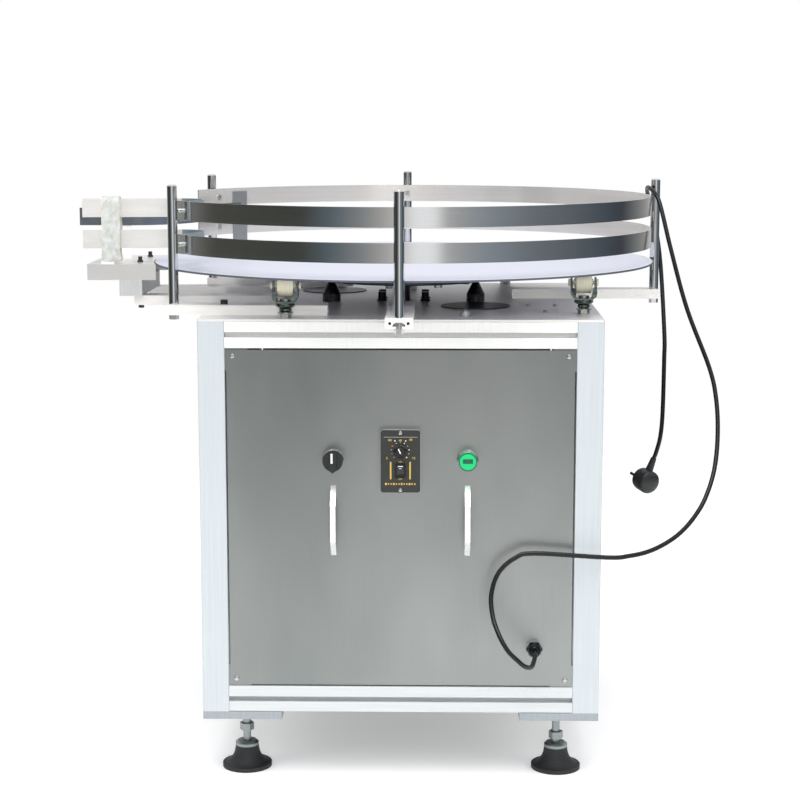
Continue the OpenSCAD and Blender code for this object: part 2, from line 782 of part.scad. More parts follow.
// The far rail leaves the ring in a smooth curve and ends straight
far_y = tray_rear - far_inset;
far_r = tie_r - tie_t - seat_gap;
far_from_a = 156;
far_straight_l = 90;
far_ease = 40;
far_leave = on_circle(far_r, far_from_a);
far_turn = [-sin(far_from_a), cos(far_from_a)];
bend_steps = 10;
function bezier(p, q, r, s, t) = p * pow(1 - t, 3) + q * 3 * t * pow(1 - t, 2)
    + r * 3 * t * t * (1 - t) + s * pow(t, 3);
far_meet = [-far_reach + far_straight_l, far_y];
far_points = concat([for (k = [0:4]) on_circle(far_r, tie_a + (far_from_a - tie_a) * k / 5)],
    [for (k = [0:bend_steps]) bezier(far_leave, far_leave + far_turn * far_ease,
        far_meet + [1.2 * far_ease, 0], far_meet, k / bend_steps)],
    [[-far_reach, far_y]]);
far_z = band_low_z + band_h - 2 * band_t;

module far_exit_rail() color("dimgray") place()
    translate([0, 0, far_z]) linear_extrude(band_h)
        polygon(strip_outline(far_points, band_t));

// Bars that stand on the tray and carry the exit rails
bar_x = -near_reach + bar_in;
function near_at(x) = near_y + near_slope * (x + near_reach) / (nose_x + near_reach);
near_bar_y = near_at(bar_x - bar_w / 2) - band_t - 2 * seat_gap - bar_t;
module near_bar() translate([bar_x - bar_w / 2, near_bar_y, tray_top]) {
    cube([bar_w, bar_t, near_low_z[1] + near_h - tray_top]);
    translate([0, bar_t - bar_foot, 0]) cube([bar_w, bar_foot, bar_t]);
}

module far_bar() translate([bar_x - bar_w / 2, far_y + seat_gap, tray_top]) {
    cube([bar_w, bar_t, far_z + band_h - tray_top]);
    cube([bar_w, far_inset - seat_gap, bar_t]);
}

module rail_bars() color("gray") place() {
    near_bar();
    far_bar();
}

// Soft wrap folded over the near bar and both rails, open at the bottom
wrap_gap = 2.5;
module foam_wrap() color("white") place() {
    y_low = near_bar_y - wrap_gap;
    y_high = near_at(bar_x + wrap_w / 2) + wrap_gap;
    z_low = tray_top + bar_t + turn_gap;
    z_high = near_low_z[1] + near_h + wrap_gap;
    translate([bar_x - wrap_w / 2, 0, z_low]) rotate([90, 0, 90]) linear_extrude(wrap_w) difference() {
        translate([y_low - wrap_t, 0]) square([y_high - y_low + 2 * wrap_t, z_high - z_low + wrap_t]);
        translate([y_low, -over]) square([y_high - y_low, z_high - z_low + over]);
    }
}

// Tray: a sheet with three edges turned down and a round bite for the disc
module exit_tray() color("gainsboro") place() difference() {
    translate([-tray_reach, tray_front, tray_low]) cube([tray_reach - disc_r * 0.8, tray_w, tray_h]);
    translate([-tray_reach + tray_t, tray_front + tray_t, tray_low - over])
        cube([tray_reach, tray_w - 2 * tray_t, tray_h - tray_t + over]);
    translate([0, 0, tray_low - over]) cylinder(r = disc_r + tray_gap, h = tray_h + 2 * over, $fn = 180);
    for (k = [0, 1]) translate([tray_bolt_x, tray_front + tray_bolt_in + k * tray_bolt_pitch, tray_low])
        cylinder(r = tray_bolt_r * 0.8 + fit_gap, h = tray_h + over);
}

// Box profile under the tray with a closed front end
module tray_bracket() color("lightgray") place() difference() {
    translate([-channel_reach, tray_front, arm_top]) cube([channel_w, tray_w, tray_low - arm_top]);
    translate([-channel_reach + channel_t, tray_front + channel_t, arm_top + channel_t])
        cube([channel_w - 2 * channel_t, tray_w, tray_low - arm_top - 2 * channel_t]);
    for (k = [0, 1]) translate([tray_bolt_x, tray_front + tray_bolt_in + k * tray_bolt_pitch,
            tray_low - 2 * channel_t])
        cylinder(r = tray_bolt_r * 0.8 + fit_gap, h = tray_h);
}

module turntable_disc() color("lightsteelblue") place()
    translate([0, 0, disc_low]) cylinder(r = disc_r, h = disc_t, $fn = 180);

// Hub: a thick flange, a boss that carries the disc and a bore for the shaft
hub_web = 8;
boss_in = 66;
module hub_flange() color("slategray") place() difference() {
    translate([0, 0, hub_low]) rotate_extrude($fn = 120) polygon([
        [shaft_r + fit_gap, 0], [hub_r - hub_t / 6, 0], [hub_r, hub_t / 6], [hub_r, hub_t],
        [boss_r, hub_t], [boss_r, hub_drop], [boss_in, hub_drop], [boss_in, hub_t],
        [shaft_r * 2.4, hub_t], [shaft_r * 2.4, hub_drop], [shaft_r + fit_gap, hub_drop]]);
    for (k = [0:hub_bolts_n - 1]) rotate(-57 + 360 * k / hub_bolts_n)
        translate([hub_bolt_circle, 0, hub_low - over])
            cylinder(r = hub_bolt_r * 0.62 + fit_gap, h = hub_drop + 2 * over);
}

module hub_bolts() color("silver") place()
    for (k = [0:hub_bolts_n - 1]) rotate(-57 + 360 * k / hub_bolts_n)
        translate([hub_bolt_circle, 0, hub_low - hub_bolt_h]) {
            cylinder(r = hub_bolt_r, h = hub_bolt_h, $fn = 6);
            cylinder(r = hub_bolt_r * 0.62, h = hub_bolt_h + hub_drop - turn_gap);
        }

shaft_low = frame_top - gear_flange - gear_h * 0.8;
gear_shank_l = plate_t + gear_flange * 0.8;
module drive_shaft() color("silver") place()
    translate([0, 0, shaft_low]) cylinder(r = shaft_r, h = disc_low - shaft_low);

// Worm gearbox: a finned case under a flange, with the worm tube across it
module gearbox() color("steelblue") place() difference() {
    union() {
        translate([-gear_w / 2, -gear_d / 2, frame_top - gear_flange])
            cube([gear_w, gear_d, gear_flange]);
        translate([0, 0, frame_top - gear_flange - gear_h])
            cylinder(r = gear_d * 0.46, h = gear_h);
        translate([0, gear_d / 2, motor_z]) rotate([90, 0, 0]) cylinder(r = worm_r, h = gear_d);
        for (k = [-2:2]) translate([-gear_w / 2 + fin_t * 2, k * fin_t * 5 - fin_t / 2, motor_z - worm_r])
            cube([gear_w - fin_t * 4, fin_t, worm_r * 2]);
    }
    translate([0, 0, shaft_low - over]) cylinder(r = shaft_r + fit_gap, h = gear_h + over + gear_flange);
    for (x = [-1, 1], y = [-1, 1])
        translate([x * gear_bolt_x, y * gear_bolt_y, plate_top - gear_shank_l - fit_gap])
            cylinder(r = gear_shank_r + fit_gap, h = gear_flange + over);
}

// Motor behind the gearbox, with fins, a fan cover and a terminal box
module motor() color("darkslategray") place()
    translate([0, gear_d / 2, motor_z]) rotate([-90, 0, 0]) {
        cylinder(r = motor_flange_r, h = motor_flange_t);
        translate([0, 0, motor_flange_t]) linear_extrude(motor_l) {
            circle(motor_r);
            for (k = [0:fin_n - 1]) rotate(360 * (k + 0.5) / fin_n)
                translate([motor_r, 0]) square([2 * fin_h, fin_t], center = true);
        }
        translate([0, 0, motor_flange_t + motor_l]) cylinder(r = fan_r, h = fan_l);
        translate([-box_w / 2, motor_r * 0.8, 2 * motor_flange_t]) cube([box_w, box_h, box_l]);
    }

function caster_at(i) = concat(on_plate(caster_shares[i]), 0);

// Fixed stud of each caster with its nut and the lower bearing race
module caster_studs() color("silver") place()
    for (i = [0:3]) translate(caster_at(i)) {
        translate([0, 0, plate_top]) cylinder(r = caster_nut_r, h = caster_nut_h, $fn = 6);
        translate([0, 0, caster_base]) cylinder(r = race_r * 0.8, h = washer_t);
        translate([0, 0, frame_top]) cylinder(r = swivel_r, h = kingpin_z + kingpin_h - frame_top);
        translate([0, 0, kingpin_z]) cylinder(r = kingpin_r, h = kingpin_h);
    }

// Pressed fork: race, base and two legs, with the wheel to the rear of the stud
leg_top = wheel_z + axle_r * 2.8;
module caster_fork(i) color("silver") place() translate(caster_at(i)) difference() {
    union() {
        translate([0, 0, caster_base + washer_t + turn_gap]) rotate_extrude()
            polygon([[0, 0], [race_r * 0.48, 0], [race_r * 0.64, race_h * 0.14],
                [race_r * 0.64, race_h * 0.36], [race_r * 0.52, race_h * 0.46],
                [race_r * 0.84, race_h * 0.54], [race_r, race_h * 0.72], [race_r, race_h * 0.84],
                [race_r * 0.86, race_h + over / 2], [0, race_h + over / 2]]);
        intersection() {
            translate([0, fork_reach, 0]) rotate([90, 0, 0]) linear_extrude(fork_front + fork_reach)
                polygon([[-race_r * 0.86, fork_z], [race_r * 0.86, fork_z],
                    [fork_half - fork_t / 2, fork_z + fork_t * 2], [fork_half, fork_z + fork_t * 4],
                    [fork_half, leg_top], [-fork_half, leg_top], [-fork_half, fork_z + fork_t * 4],
                    [-fork_half + fork_t / 2, fork_z + fork_t * 2]]);
            union() {
                translate([-fork_half, -fork_front, fork_z])
                    cube([2 * fork_half, fork_front + trail, fork_t]);
                for (side = [0, 1]) mirror([side, 0, 0])
                    translate([fork_half - fork_rim, 0, 0]) rotate([90, 0, 90])
                        linear_extrude(fork_rim) polygon([[-fork_front, fork_z], [trail, fork_z],
                            [fork_reach, wheel_z - axle_r * 2], [fork_reach, leg_top - axle_r],
                            [fork_reach - axle_r, leg_top], [trail - axle_r * 2, leg_top],
                            [-fork_front, fork_z + fork_t * 3]]);
            }
        }
    }
    translate([-fork_half + fork_t, trail, wheel_z]) rotate([0, 90, 0])
        cylinder(r = wheel_r + fork_gap / 2, h = 2 * (fork_half - fork_t));
    translate([0, 0, plate_top]) cylinder(r = swivel_r + fit_gap, h = disc_up);
    translate([-fork_half - over, trail, wheel_z]) rotate([0, 90, 0])
        cylinder(r = axle_r + hole_gap, h = 2 * (fork_half + over));
}

// Wheel with a grooved tread edge, hub and its own axle
module caster_wheel(i) color("khaki") place() translate(caster_at(i) + [0, trail, wheel_z])
    rotate([0, 90, 0]) {
        edge = wheel_r * 0.06;
        rotate_extrude() polygon([[0, -wheel_w / 2 - fork_gap / 2],
            [axle_r * 2, -wheel_w / 2 - fork_gap / 2],
            [axle_r * 2, -wheel_w / 2], [wheel_r - edge, -wheel_w / 2],
            [wheel_r, -wheel_w / 2 + edge],
            [wheel_r, wheel_w / 2 - edge], [wheel_r - edge, wheel_w / 2], [axle_r * 2, wheel_w / 2],
            [axle_r * 2, wheel_w / 2 + fork_gap / 2], [0, wheel_w / 2 + fork_gap / 2]]);
        translate([0, 0, -fork_half - axle_r]) cylinder(r = axle_r, h = 2 * (fork_half + axle_r));
        for (side = [-1, 1]) translate([0, 0, side * (fork_half + turn_gap + axle_r / 2) - axle_r / 2])
            cylinder(r = axle_r * 1.8, h = axle_r);
    }

knob_z = ctrl_z + knob_up;
rocker_z = ctrl_z - rocker_down;
pin_r = 3;
pin_l = 16;
face_y = panel_y - ctrl_t;
rocker_frame = 2.4;
rocker_bezel = 1.5;
rocker_pin_r = 1.5;
rocker_hinge = 5;
rocker_gap = 0.5;

// Face plate and body of the speed controller, with the rocker opening
module speed_controller() color("black") place() difference() {
    union() {
        translate([0, panel_y, ctrl_z]) front_plate(ctrl_w, ctrl_h, ctrl_t, prof_round * 2.5);
        translate([0, panel_y + body_l, ctrl_z]) front_plate(body_w, body_h, body_l, prof_round);
        translate([0, face_y, rocker_z]) front_plate(rocker_w + 2 * rocker_frame,
            rocker_h + 2 * rocker_frame, rocker_bezel, rocker_bezel);
    }
    translate([0, face_y + pin_l, knob_z]) front_rod(pin_r + fit_gap, pin_l + over);
    for (z = [-1, 1]) translate([0, panel_y + over, ctrl_z + z * ctrl_screw_z])
        front_rod(screw_r + fit_gap, ctrl_t + 2 * over);
    translate([0, face_y + rocker_h, rocker_z])
        front_plate(rocker_w + 2 * rocker_gap, rocker_h + 2 * rocker_gap, rocker_h + 2 * rocker_bezel,
            rocker_gap);
    translate([-rocker_w, face_y + rocker_hinge, rocker_z]) rotate([0, 90, 0])
        cylinder(r = rocker_pin_r + fit_gap, h = 2 * rocker_w);
}

// Knob with a skirt, a grip and a pointer groove at eleven o'clock
pointer_a = 30;
module speed_knob() color("black") place() translate([0, face_y - turn_gap, knob_z]) {
    translate([0, pin_l * 0.8, 0]) front_rod(pin_r, pin_l * 0.8 + over);
    rotate([90, 0, 0]) rotate(pointer_a) difference() {
        rotate_extrude() polygon([[0, 0], [knob_r, 0], [knob_r, knob_h * 0.15],
            [knob_r * 0.8, knob_h * 0.3], [knob_r * 0.74, knob_h * 0.92],
            [knob_r * 0.68, knob_h], [0, knob_h]]);
        translate([-over / 2, knob_r * 0.2, knob_h - over / 2]) cube([over, knob_r, over]);
        for (k = [0:8]) rotate(20 + 40 * k) translate([knob_r * 0.86, 0, knob_h * 0.3])
            cylinder(r = knob_r * 0.14, h = knob_h);
    }
}

// Rocker: a rounded V that turns on its own pins
rocker_r = rocker_h / 2 - rocker_gap / 2;
rocker_tilt = 9;
rocker_out = 3.2;
module rocker_switch() color("dimgray") place()
    translate([0, face_y + rocker_hinge, rocker_z]) rotate([-rocker_tilt, 0, 0]) {
        rotate([90, 0, 90]) translate([0, 0, -rocker_w / 2]) linear_extrude(rocker_w)
            polygon([[-rocker_hinge - rocker_out, rocker_r * 0.82], [-rocker_hinge - rocker_out * 0.4, 0],
                [-rocker_hinge - rocker_out, -rocker_r * 0.82], [-rocker_hinge * 0.3, -rocker_r],
                [rocker_hinge * 0.7, -rocker_r * 0.5], [rocker_hinge * 0.7, rocker_r * 0.5],
                [-rocker_hinge * 0.3, rocker_r]]);
        translate([-rocker_w * 0.9, 0, 0]) rotate([0, 90, 0])
            cylinder(r = rocker_pin_r, h = rocker_w * 1.8);
    }

// Threaded barrel with a locknut behind the panel and a bezel in front
module bezel() {
    rotate([90, 0, 0]) rotate_extrude() polygon([[0, 0], [bezel_r, 0], [bezel_r, bezel_t * 0.5],
        [bezel_r - bezel_t * 0.4, bezel_t], [0, bezel_t]]);
    translate([0, barrel_l, 0]) front_rod(barrel_r, barrel_l);
    translate([0, panel_t + bezel_t, 0]) rotate([90, 0, 0])
        cylinder(r = bezel_r, h = bezel_t, $fn = 6);
}

module selector_base() color("silver") place() translate([-side_x, panel_y, side_z]) difference() {
    bezel();
    translate([0, pin_l - bezel_t, 0]) front_rod(pin_r + fit_gap, pin_l + over);
}

// Selector knob: a round skirt and a bar with one pointed end, bar upright
module selector_knob() color("black") place()
    translate([-side_x, panel_y - bezel_t - turn_gap, side_z]) {
        translate([0, pin_l * 0.8, 0]) front_rod(pin_r, pin_l * 0.8 + over);
        front_rod(selector_r, bezel_t * 2);
        rotate([90, 0, 0]) linear_extrude(bezel_t * 3) polygon([[-selector_r * 0.34, selector_r * 0.93],
            [selector_r * 0.34, selector_r * 0.93], [selector_r * 0.34, -selector_r * 0.88],
            [0, -selector_r * 1.12], [-selector_r * 0.34, -selector_r * 0.88]]);
    }

lens_r = bezel_r * 0.87;
lens_h = bezel_t * 2;
module lamp_base() color("silver") place() translate([side_x, panel_y, side_z]) bezel();

module lamp_lens() color("green") place() translate([side_x, panel_y - bezel_t, side_z])
    rotate([90, 0, 0]) rotate_extrude() polygon([[0, 0], [lens_r, 0], [lens_r, lens_h - over],
        [lens_r - over / 2, lens_h], [lens_r - 1.5 * over, lens_h], [lens_r - 2 * over, lens_h - over / 2],
        [0, lens_h - over / 2]]);

// Handle in its own plane: X away from the panel, Y along the grip
handle_bend = 6;
bow_steps = 6;
bow_out = handle_out - handle_t / 2;
bow_lean = atan2((handle_l - handle_grip) / 2, bow_out);
bow_set = handle_bend * tan((90 - bow_lean) / 2);
bow_middle = [bow_out - handle_bend, -handle_grip / 2 + bow_set];
bow_back = handle_t * [cos(bow_lean), sin(bow_lean)];
bow_half = concat([[0, -handle_l / 2] - bow_back],
    [for (k = [0:bow_steps]) let (a = (bow_lean - 90) * (1 - k / bow_steps))
        bow_middle + handle_bend * [cos(a), sin(a)]]);
bow_path = concat(bow_half, [for (i = [len(bow_half) - 1:-1:0]) [bow_half[i][0], -bow_half[i][1]]]);
module handle() difference() {
    translate([0, 0, -handle_w / 2]) linear_extrude(handle_w)
        polygon(concat([for (i = [0:len(bow_path) - 1]) bow_path[i] - handle_t / 2 * left_of(bow_path, i)],
            [for (i = [len(bow_path) - 1:-1:0]) bow_path[i] + handle_t / 2 * left_of(bow_path, i)]));
    translate([-handle_l, -handle_l, -handle_l]) cube([handle_l, 2 * handle_l, 2 * handle_l]);
}

module door_handles() color("silver") place()
    for (side = [-1, 1]) translate([side * side_x, panel_y, handle_z])
        rotate([90, 0, -90]) handle();

module cable_gland() color("dimgray") place() translate([gland_x, panel_y, gland_z]) {
    translate([0, panel_t + gland_nut_h, 0]) front_rod(gland_nut_r * 0.7, panel_t + gland_nut_h);
    front_rod(gland_ring_r, gland_ring_h);
    translate([0, -gland_ring_h, 0]) rotate([90, 0, 0]) cylinder(r = gland_nut_r, h = gland_nut_h, $fn = 6);
    translate([0, -gland_ring_h - gland_nut_h, 0]) rotate([90, 0, 0]) rotate_extrude()
        polygon(concat([[0, 0]], [for (k = [0:flank_steps]) let (a = 90 * k / flank_steps)
            [gland_tip_r + (gland_nut_r * 0.84 - gland_tip_r) * cos(a), gland_dome_h * sin(a)]],
            [[0, gland_dome_h]]));
}

// Free cord: a tube swept along hand chosen points, gland to plug
cord_points = [
    [gland_x, gland_end, gland_z], [gland_x, gland_end - 12, gland_z], [198, -355, 203],
    [193, -374, 201], [183, -389, 207], [172, -396, 218], [158, -394, 232], [146, -382, 251],
    [137, -362, 274], [135, -345, 303], [146, -335, 334], [171, -328, 355], [200, -325, 361],
    [308, -320, 354], [340, -314, 355], [369, -303, 359], [396, -286, 367], [421, -266, 379],
    [444, -243, 397], [465, -218, 423], [482, -190, 463], [490, -162, 513], [490, -136, 565],
    [481, -114, 612], [449, -82, 699], [426, -52, 788], [410, -22, 861], [402, -5, 880],
    [396.5, 15, 886], [395.5, 36, 885], [398.5, 55, 874], [405, 67, 855], [413, 72, 829],
    [422, 57, 760], [425, 9, 650], [424, -4, 610], [422, -15, 525], [419, -17, 485],
    [413, -17, 459], [409, -17, 448]];
cord_sides = 10;
cord_step = 21;
function spline(p, i, t) = let (n = len(p) - 1, a = p[max(i - 1, 0)], b = p[i], c = p[i + 1],
        d = p[min(i + 2, n)])
    (2 * b + (c - a) * t + (2 * a - 5 * b + 4 * c - d) * t * t
        + (3 * b - a - 3 * c + d) * t * t * t) / 2;
cord_path = concat([for (i = [0:len(cord_points) - 2])
    let (n = max(1, round(norm(cord_points[i + 1] - cord_points[i]) / cord_step)))
        for (k = [0:n - 1]) spline(cord_points, i, k / n)], [cord_points[len(cord_points) - 1]]);
cord_start = unit(cord_points[1] - cord_points[0]);
cord_finish = unit(cord_points[len(cord_points) - 1] - cord_points[len(cord_points) - 2]);
function tangent(p, i) = i == 0 ? cord_start : i == len(p) - 1 ? cord_finish : unit(p[i + 1] - p[i - 1]);
function carry(n, t) = unit(n - t * (n * t));
// Normals carried along the path, so that the tube doesn't twist
function normals(p, i, n) = i >= len(p) ? [] :
    let (m = carry(n, tangent(p, i))) concat([m], normals(p, i + 1, m));
module tube(p, r, sides) {
    ns = normals(p, 0, [0, 0, 1]);
    rings = [for (i = [0:len(p) - 1], k = [0:sides - 1])
        let (t = tangent(p, i), n = ns[i], b = cross(t, n), a = 360 * k / sides)
            p[i] + r * (cos(a) * n + sin(a) * b)];
    last = len(p) - 1;
    faces = concat(
        [for (i = [0:last - 1], k = [0:sides - 1]) let (a = i * sides + k,
            b = i * sides + (k + 1) % sides) [a, a + sides, b + sides]],
        [for (i = [0:last - 1], k = [0:sides - 1]) let (a = i * sides + k,
            b = i * sides + (k + 1) % sides) [a, b + sides, b]],
        [[for (k = [0:sides - 1]) k]], [[for (k = [sides - 1:-1:0]) last * sides + k]]);
    polyhedron(rings, faces);
}

module power_cord() color("black") place() tube(cord_path, cable_r, cord_sides);

// Round mains plug that hangs on the cord, with its relief, body and pins
plug_dome = 9;
plug_pin_r = 2.4;
plug_pin_l = 19;
plug_pin_x = 9.5;
relief_r = 6.5;
plug_start = cord_points[len(cord_points) - 1];
plug_lean = atan2(-cord_finish[0], -cord_finish[2]);
plug_turn = 28;
module power_plug() color("black") place() translate(plug_start)
    rotate([0, plug_lean, 0]) {
        translate([0, 0, -relief_l]) rotate_extrude() polygon([[0, 0], [relief_r, 0],
            [relief_r * 0.8, relief_l * 0.7], [relief_r * 0.7, relief_l], [0, relief_l]]);
        translate([0, 0, -relief_l - plug_r * 0.9]) rotate(plug_turn) rotate([-90, 0, 0]) {
            translate([0, 0, -plug_l / 2]) rotate_extrude() polygon(concat(
                [for (k = [0:flank_steps]) let (a = 90 * k / flank_steps)
                    [plug_r * sin(a), plug_dome * (1 - cos(a)) - plug_dome]],
                [[plug_r, plug_l * 0.8], [plug_r - over, plug_l], [0, plug_l]]));
            for (x = [-1, 1]) translate([x * plug_pin_x, 0, plug_l / 2])
                cylinder(r = plug_pin_r, h = plug_pin_l);
        }
    }

corner_posts();
top_rails();
bottom_rails();
foot_plates();
foot_stem(0);  // foot_stem_front_left
foot_stem(1);  // foot_stem_front_right
foot_stem(2);  // foot_stem_rear_right
foot_stem(3);  // foot_stem_rear_left
foot_pad(0);  // foot_pad_front_left
foot_pad(1);  // foot_pad_front_right
foot_pad(2);  // foot_pad_rear_right
foot_pad(3);  // foot_pad_rear_left
front_panel();
rear_panel();
side_panels();
panel_gussets();
panel_screws();
top_plate();
hole_covers();
support_cones();
plate_bolts();
support_arms();
arm_bolts();
guard_posts();
upper_ring();
lower_ring();
ring_fixings();
ring_tie();
near_exit_rails();
far_exit_rail();
rail_bars();
foam_wrap();
exit_tray();
tray_bracket();
turntable_disc();
hub_flange();
hub_bolts();
drive_shaft();
gearbox();
motor();
caster_studs();
caster_fork(0);  // caster_fork_front_left
caster_fork(1);  // caster_fork_front_right
caster_fork(2);  // caster_fork_rear_left
caster_fork(3);  // caster_fork_rear_right
caster_wheel(0);  // caster_wheel_front_left
caster_wheel(1);  // caster_wheel_front_right
caster_wheel(2);  // caster_wheel_rear_left
caster_wheel(3);  // caster_wheel_rear_right
speed_controller();
speed_knob();
rocker_switch();
selector_base();
selector_knob();
lamp_base();
lamp_lens();
door_handles();
cable_gland();
power_cord();
power_plug();
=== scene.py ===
# %% [markdown]
# This script dresses a rotary bottle unscrambler: a framed cabinet with a turning
# disc, ring guides, an exit lane and a mains lead. The rigid pieces come from the
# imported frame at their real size. What Blender adds is the finish of every surface,
# the lead, the soft wrap, the marks on the controls, and the studio round it all.

# %% Load the rigid pieces
import math

import bmesh
import bpy
from mathutils import Matrix, Vector
from mathutils import noise as smooth_noise


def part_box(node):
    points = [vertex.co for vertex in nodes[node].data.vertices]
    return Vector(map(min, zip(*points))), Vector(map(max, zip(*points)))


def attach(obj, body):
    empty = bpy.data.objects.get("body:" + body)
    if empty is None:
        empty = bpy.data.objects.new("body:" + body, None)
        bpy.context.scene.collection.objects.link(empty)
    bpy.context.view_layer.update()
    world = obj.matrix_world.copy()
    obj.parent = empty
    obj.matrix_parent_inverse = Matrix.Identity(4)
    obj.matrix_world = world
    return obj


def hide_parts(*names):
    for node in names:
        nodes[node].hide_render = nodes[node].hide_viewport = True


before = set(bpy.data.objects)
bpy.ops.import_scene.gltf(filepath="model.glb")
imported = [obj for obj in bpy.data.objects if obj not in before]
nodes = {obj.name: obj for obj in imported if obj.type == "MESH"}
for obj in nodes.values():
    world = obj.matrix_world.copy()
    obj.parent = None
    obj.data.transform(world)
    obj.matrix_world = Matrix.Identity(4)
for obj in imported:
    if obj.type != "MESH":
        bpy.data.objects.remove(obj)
scene = bpy.context.scene
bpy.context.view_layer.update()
AXIS_X = 0.0613785  # the turning axis of the disc lies this far right of the origin

# %% [markdown]
# The camera stands three metres in front of the cabinet at the height of the guide
# rings and looks slightly down. A camera in Blender looks along its own -Z, so the
# three axes of its matrix are the right, the up and the backward direction. Working
# from a yaw and a pitch angle keeps the two numbers readable.

# %% Place the camera
YAW, PITCH = -0.0186, 0.153  # radians: a little to the left, and nine degrees down
STAND = (0.050457 + AXIS_X, -3.048062, 1.010421)
FOCAL_PX, PICTURE_PX = 1880.847, 800
forward = Vector((math.sin(YAW) * math.cos(PITCH), math.cos(YAW) * math.cos(PITCH),
                  -math.sin(PITCH)))
right = Vector((math.cos(YAW), -math.sin(YAW), 0))
up = right.cross(forward)
lens = bpy.data.cameras.new("front_camera")
lens.sensor_width = 36
lens.lens = FOCAL_PX / PICTURE_PX * lens.sensor_width
lens.clip_end = 60
camera = bpy.data.objects.new("front_camera", lens)
turn = Matrix((right, up, -forward)).transposed().to_4x4()
camera.matrix_world = Matrix.Translation(STAND) @ turn
scene.collection.objects.link(camera)
scene.camera = camera
scene.view_settings.view_transform = "Standard"  # a white background stays white
print("lens", round(lens.lens, 2), "mm")

# %% [markdown]
# The mains lead is a round PVC cable of 7 mm. It leaves the gland, curls to the left,
# swings out past the right side, climbs to the ring, lies over it beside the right
# post and hangs down to its plug. The points below are its middle line in
# millimetres, with x counted from the disc's axis. A smooth curve through them gives
# many short steps, so that no bend shows a corner.

# %% Route of the mains lead
ROUTE_MM = [
    (201.6, -319.5, 208), (201.6, -331.5, 208), (198, -355, 203), (193, -374, 201),
    (183, -389, 207), (172, -396, 218), (158, -394, 232), (146, -382, 251), (137, -362, 274),
    (135, -345, 303), (146, -335, 334), (171, -328, 355), (200, -325, 361), (308, -320, 354),
    (340, -314, 355), (369, -303, 359), (396, -286, 367), (421, -266, 379), (444, -243, 397),
    (465, -218, 423), (482, -190, 463), (490, -162, 513), (490, -136, 565), (481, -114, 612),
    (449, -82, 699), (426, -52, 788), (410, -22, 861), (402, -5, 880), (396.5, 15, 886),
    (395.5, 36, 885), (398.5, 55, 874), (405, 67, 855), (413, 72, 829), (422, 57, 760),
    (425, 9, 650), (424, -4, 610), (422, -15, 525), (419, -17, 485), (413, -17, 459),
    (409, -17, 448)]
route = [Vector((x / 1000 + AXIS_X, y / 1000, z / 1000)) for x, y, z in ROUTE_MM]


def smooth_route(points, cuts):
    """Points on a smooth curve that passes through every given point."""
    out = []
    for i in range(len(points) - 1):
        a, b = points[max(i - 1, 0)], points[i]
        c, d = points[i + 1], points[min(i + 2, len(points) - 1)]
        for k in range(cuts):
            t = k / cuts
            out.append((2 * b + (c - a) * t + (2 * a - 5 * b + 4 * c - d) * t * t
                        + (3 * b - a - 3 * c + d) * t ** 3) / 2)
    return out + [points[-1]]


line = smooth_route(route, cuts=6)

# %% [markdown]
# A curve with a round bevel is the natural form for a cable: its points are the
# route, and the bevel gives the thickness. The finished tube is turned into a mesh,
# because a curve reports a box that is far too large.

# %% Tube of the mains lead
LEAD_RADIUS = 0.0035


def finished_mesh(data):
    """The mesh that a curve or a text makes; nothing else of it stays in the scene."""
    carrier = bpy.data.objects.new(data.name, data)
    scene.collection.objects.link(carrier)
    depsgraph = bpy.context.evaluated_depsgraph_get()
    mesh = bpy.data.meshes.new_from_object(carrier.evaluated_get(depsgraph))
    bpy.data.objects.remove(carrier)
    return mesh


curve = bpy.data.curves.new("mains_lead", "CURVE")
curve.dimensions = "3D"
curve.bevel_depth = LEAD_RADIUS
curve.bevel_resolution = 5
curve.use_fill_caps = True
spline = curve.splines.new("POLY")
spline.points.add(len(line) - 1)
for point, place in zip(spline.points, line):
    point.co = (*place, 1)
tube = finished_mesh(curve)
for face in tube.polygons:
    face.use_smooth = True
mains_lead = bpy.data.objects.new("mains_lead", tube)
scene.collection.objects.link(mains_lead)
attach(mains_lead, "cabinet")
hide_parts("power_cord")
print("faces of the lead", len(tube.polygons))

# %% [markdown]
# Every finish is a small node tree. A few helpers keep those trees short. One turns
# an sRGB hex value into the linear colour that a shader expects, one starts a
# material with its plain values, and one adds a node with its settings and links. It
# takes the world as well as a material, because both own a node tree.

# %% Helpers: colours, shaders and nodes
def hex_colour(code):
    """Linear RGBA from an sRGB hex value such as C9CBC9."""
    parts = [int(code[i:i + 2], 16) / 255 for i in (0, 2, 4)]
    return tuple(p / 12.92 if p <= 0.04045 else ((p + 0.055) / 1.055) ** 2.4
                 for p in parts) + (1,)


def shader_of(material):
    """The surface shader that every new material has."""
    return material.node_tree.nodes["Principled BSDF"]


def start_finish(name, colour, metallic, roughness, **sockets):
    """A material with its shader; the plain values sit on the shader's own sockets."""
    material = bpy.data.materials.new(name)
    material.use_nodes = True
    inputs = shader_of(material).inputs
    inputs["Base Color"].default_value = hex_colour(colour)
    inputs["Metallic"].default_value = metallic
    inputs["Roughness"].default_value = roughness
    for socket, value in sockets.items():
        inputs[socket.replace("_", " ")].default_value = value
    return material


def add_node(owner, kind, settings=None, values=None, links=None):
    """Adds a node; links maps an input's name or number to another node's output."""
    node = owner.node_tree.nodes.new(kind)
    for key, value in (settings or {}).items():
        setattr(node, key, value)
    for key, value in (values or {}).items():
        node.inputs[key].default_value = value
    for key, output in (links or {}).items():
        owner.node_tree.links.new(output, node.inputs[key])
    return node


def to_shader(material, output, socket):
    """Links a node's output to the shader."""
    material.node_tree.links.new(output, shader_of(material).inputs[socket])


print("helpers for colours, shaders and nodes are ready")

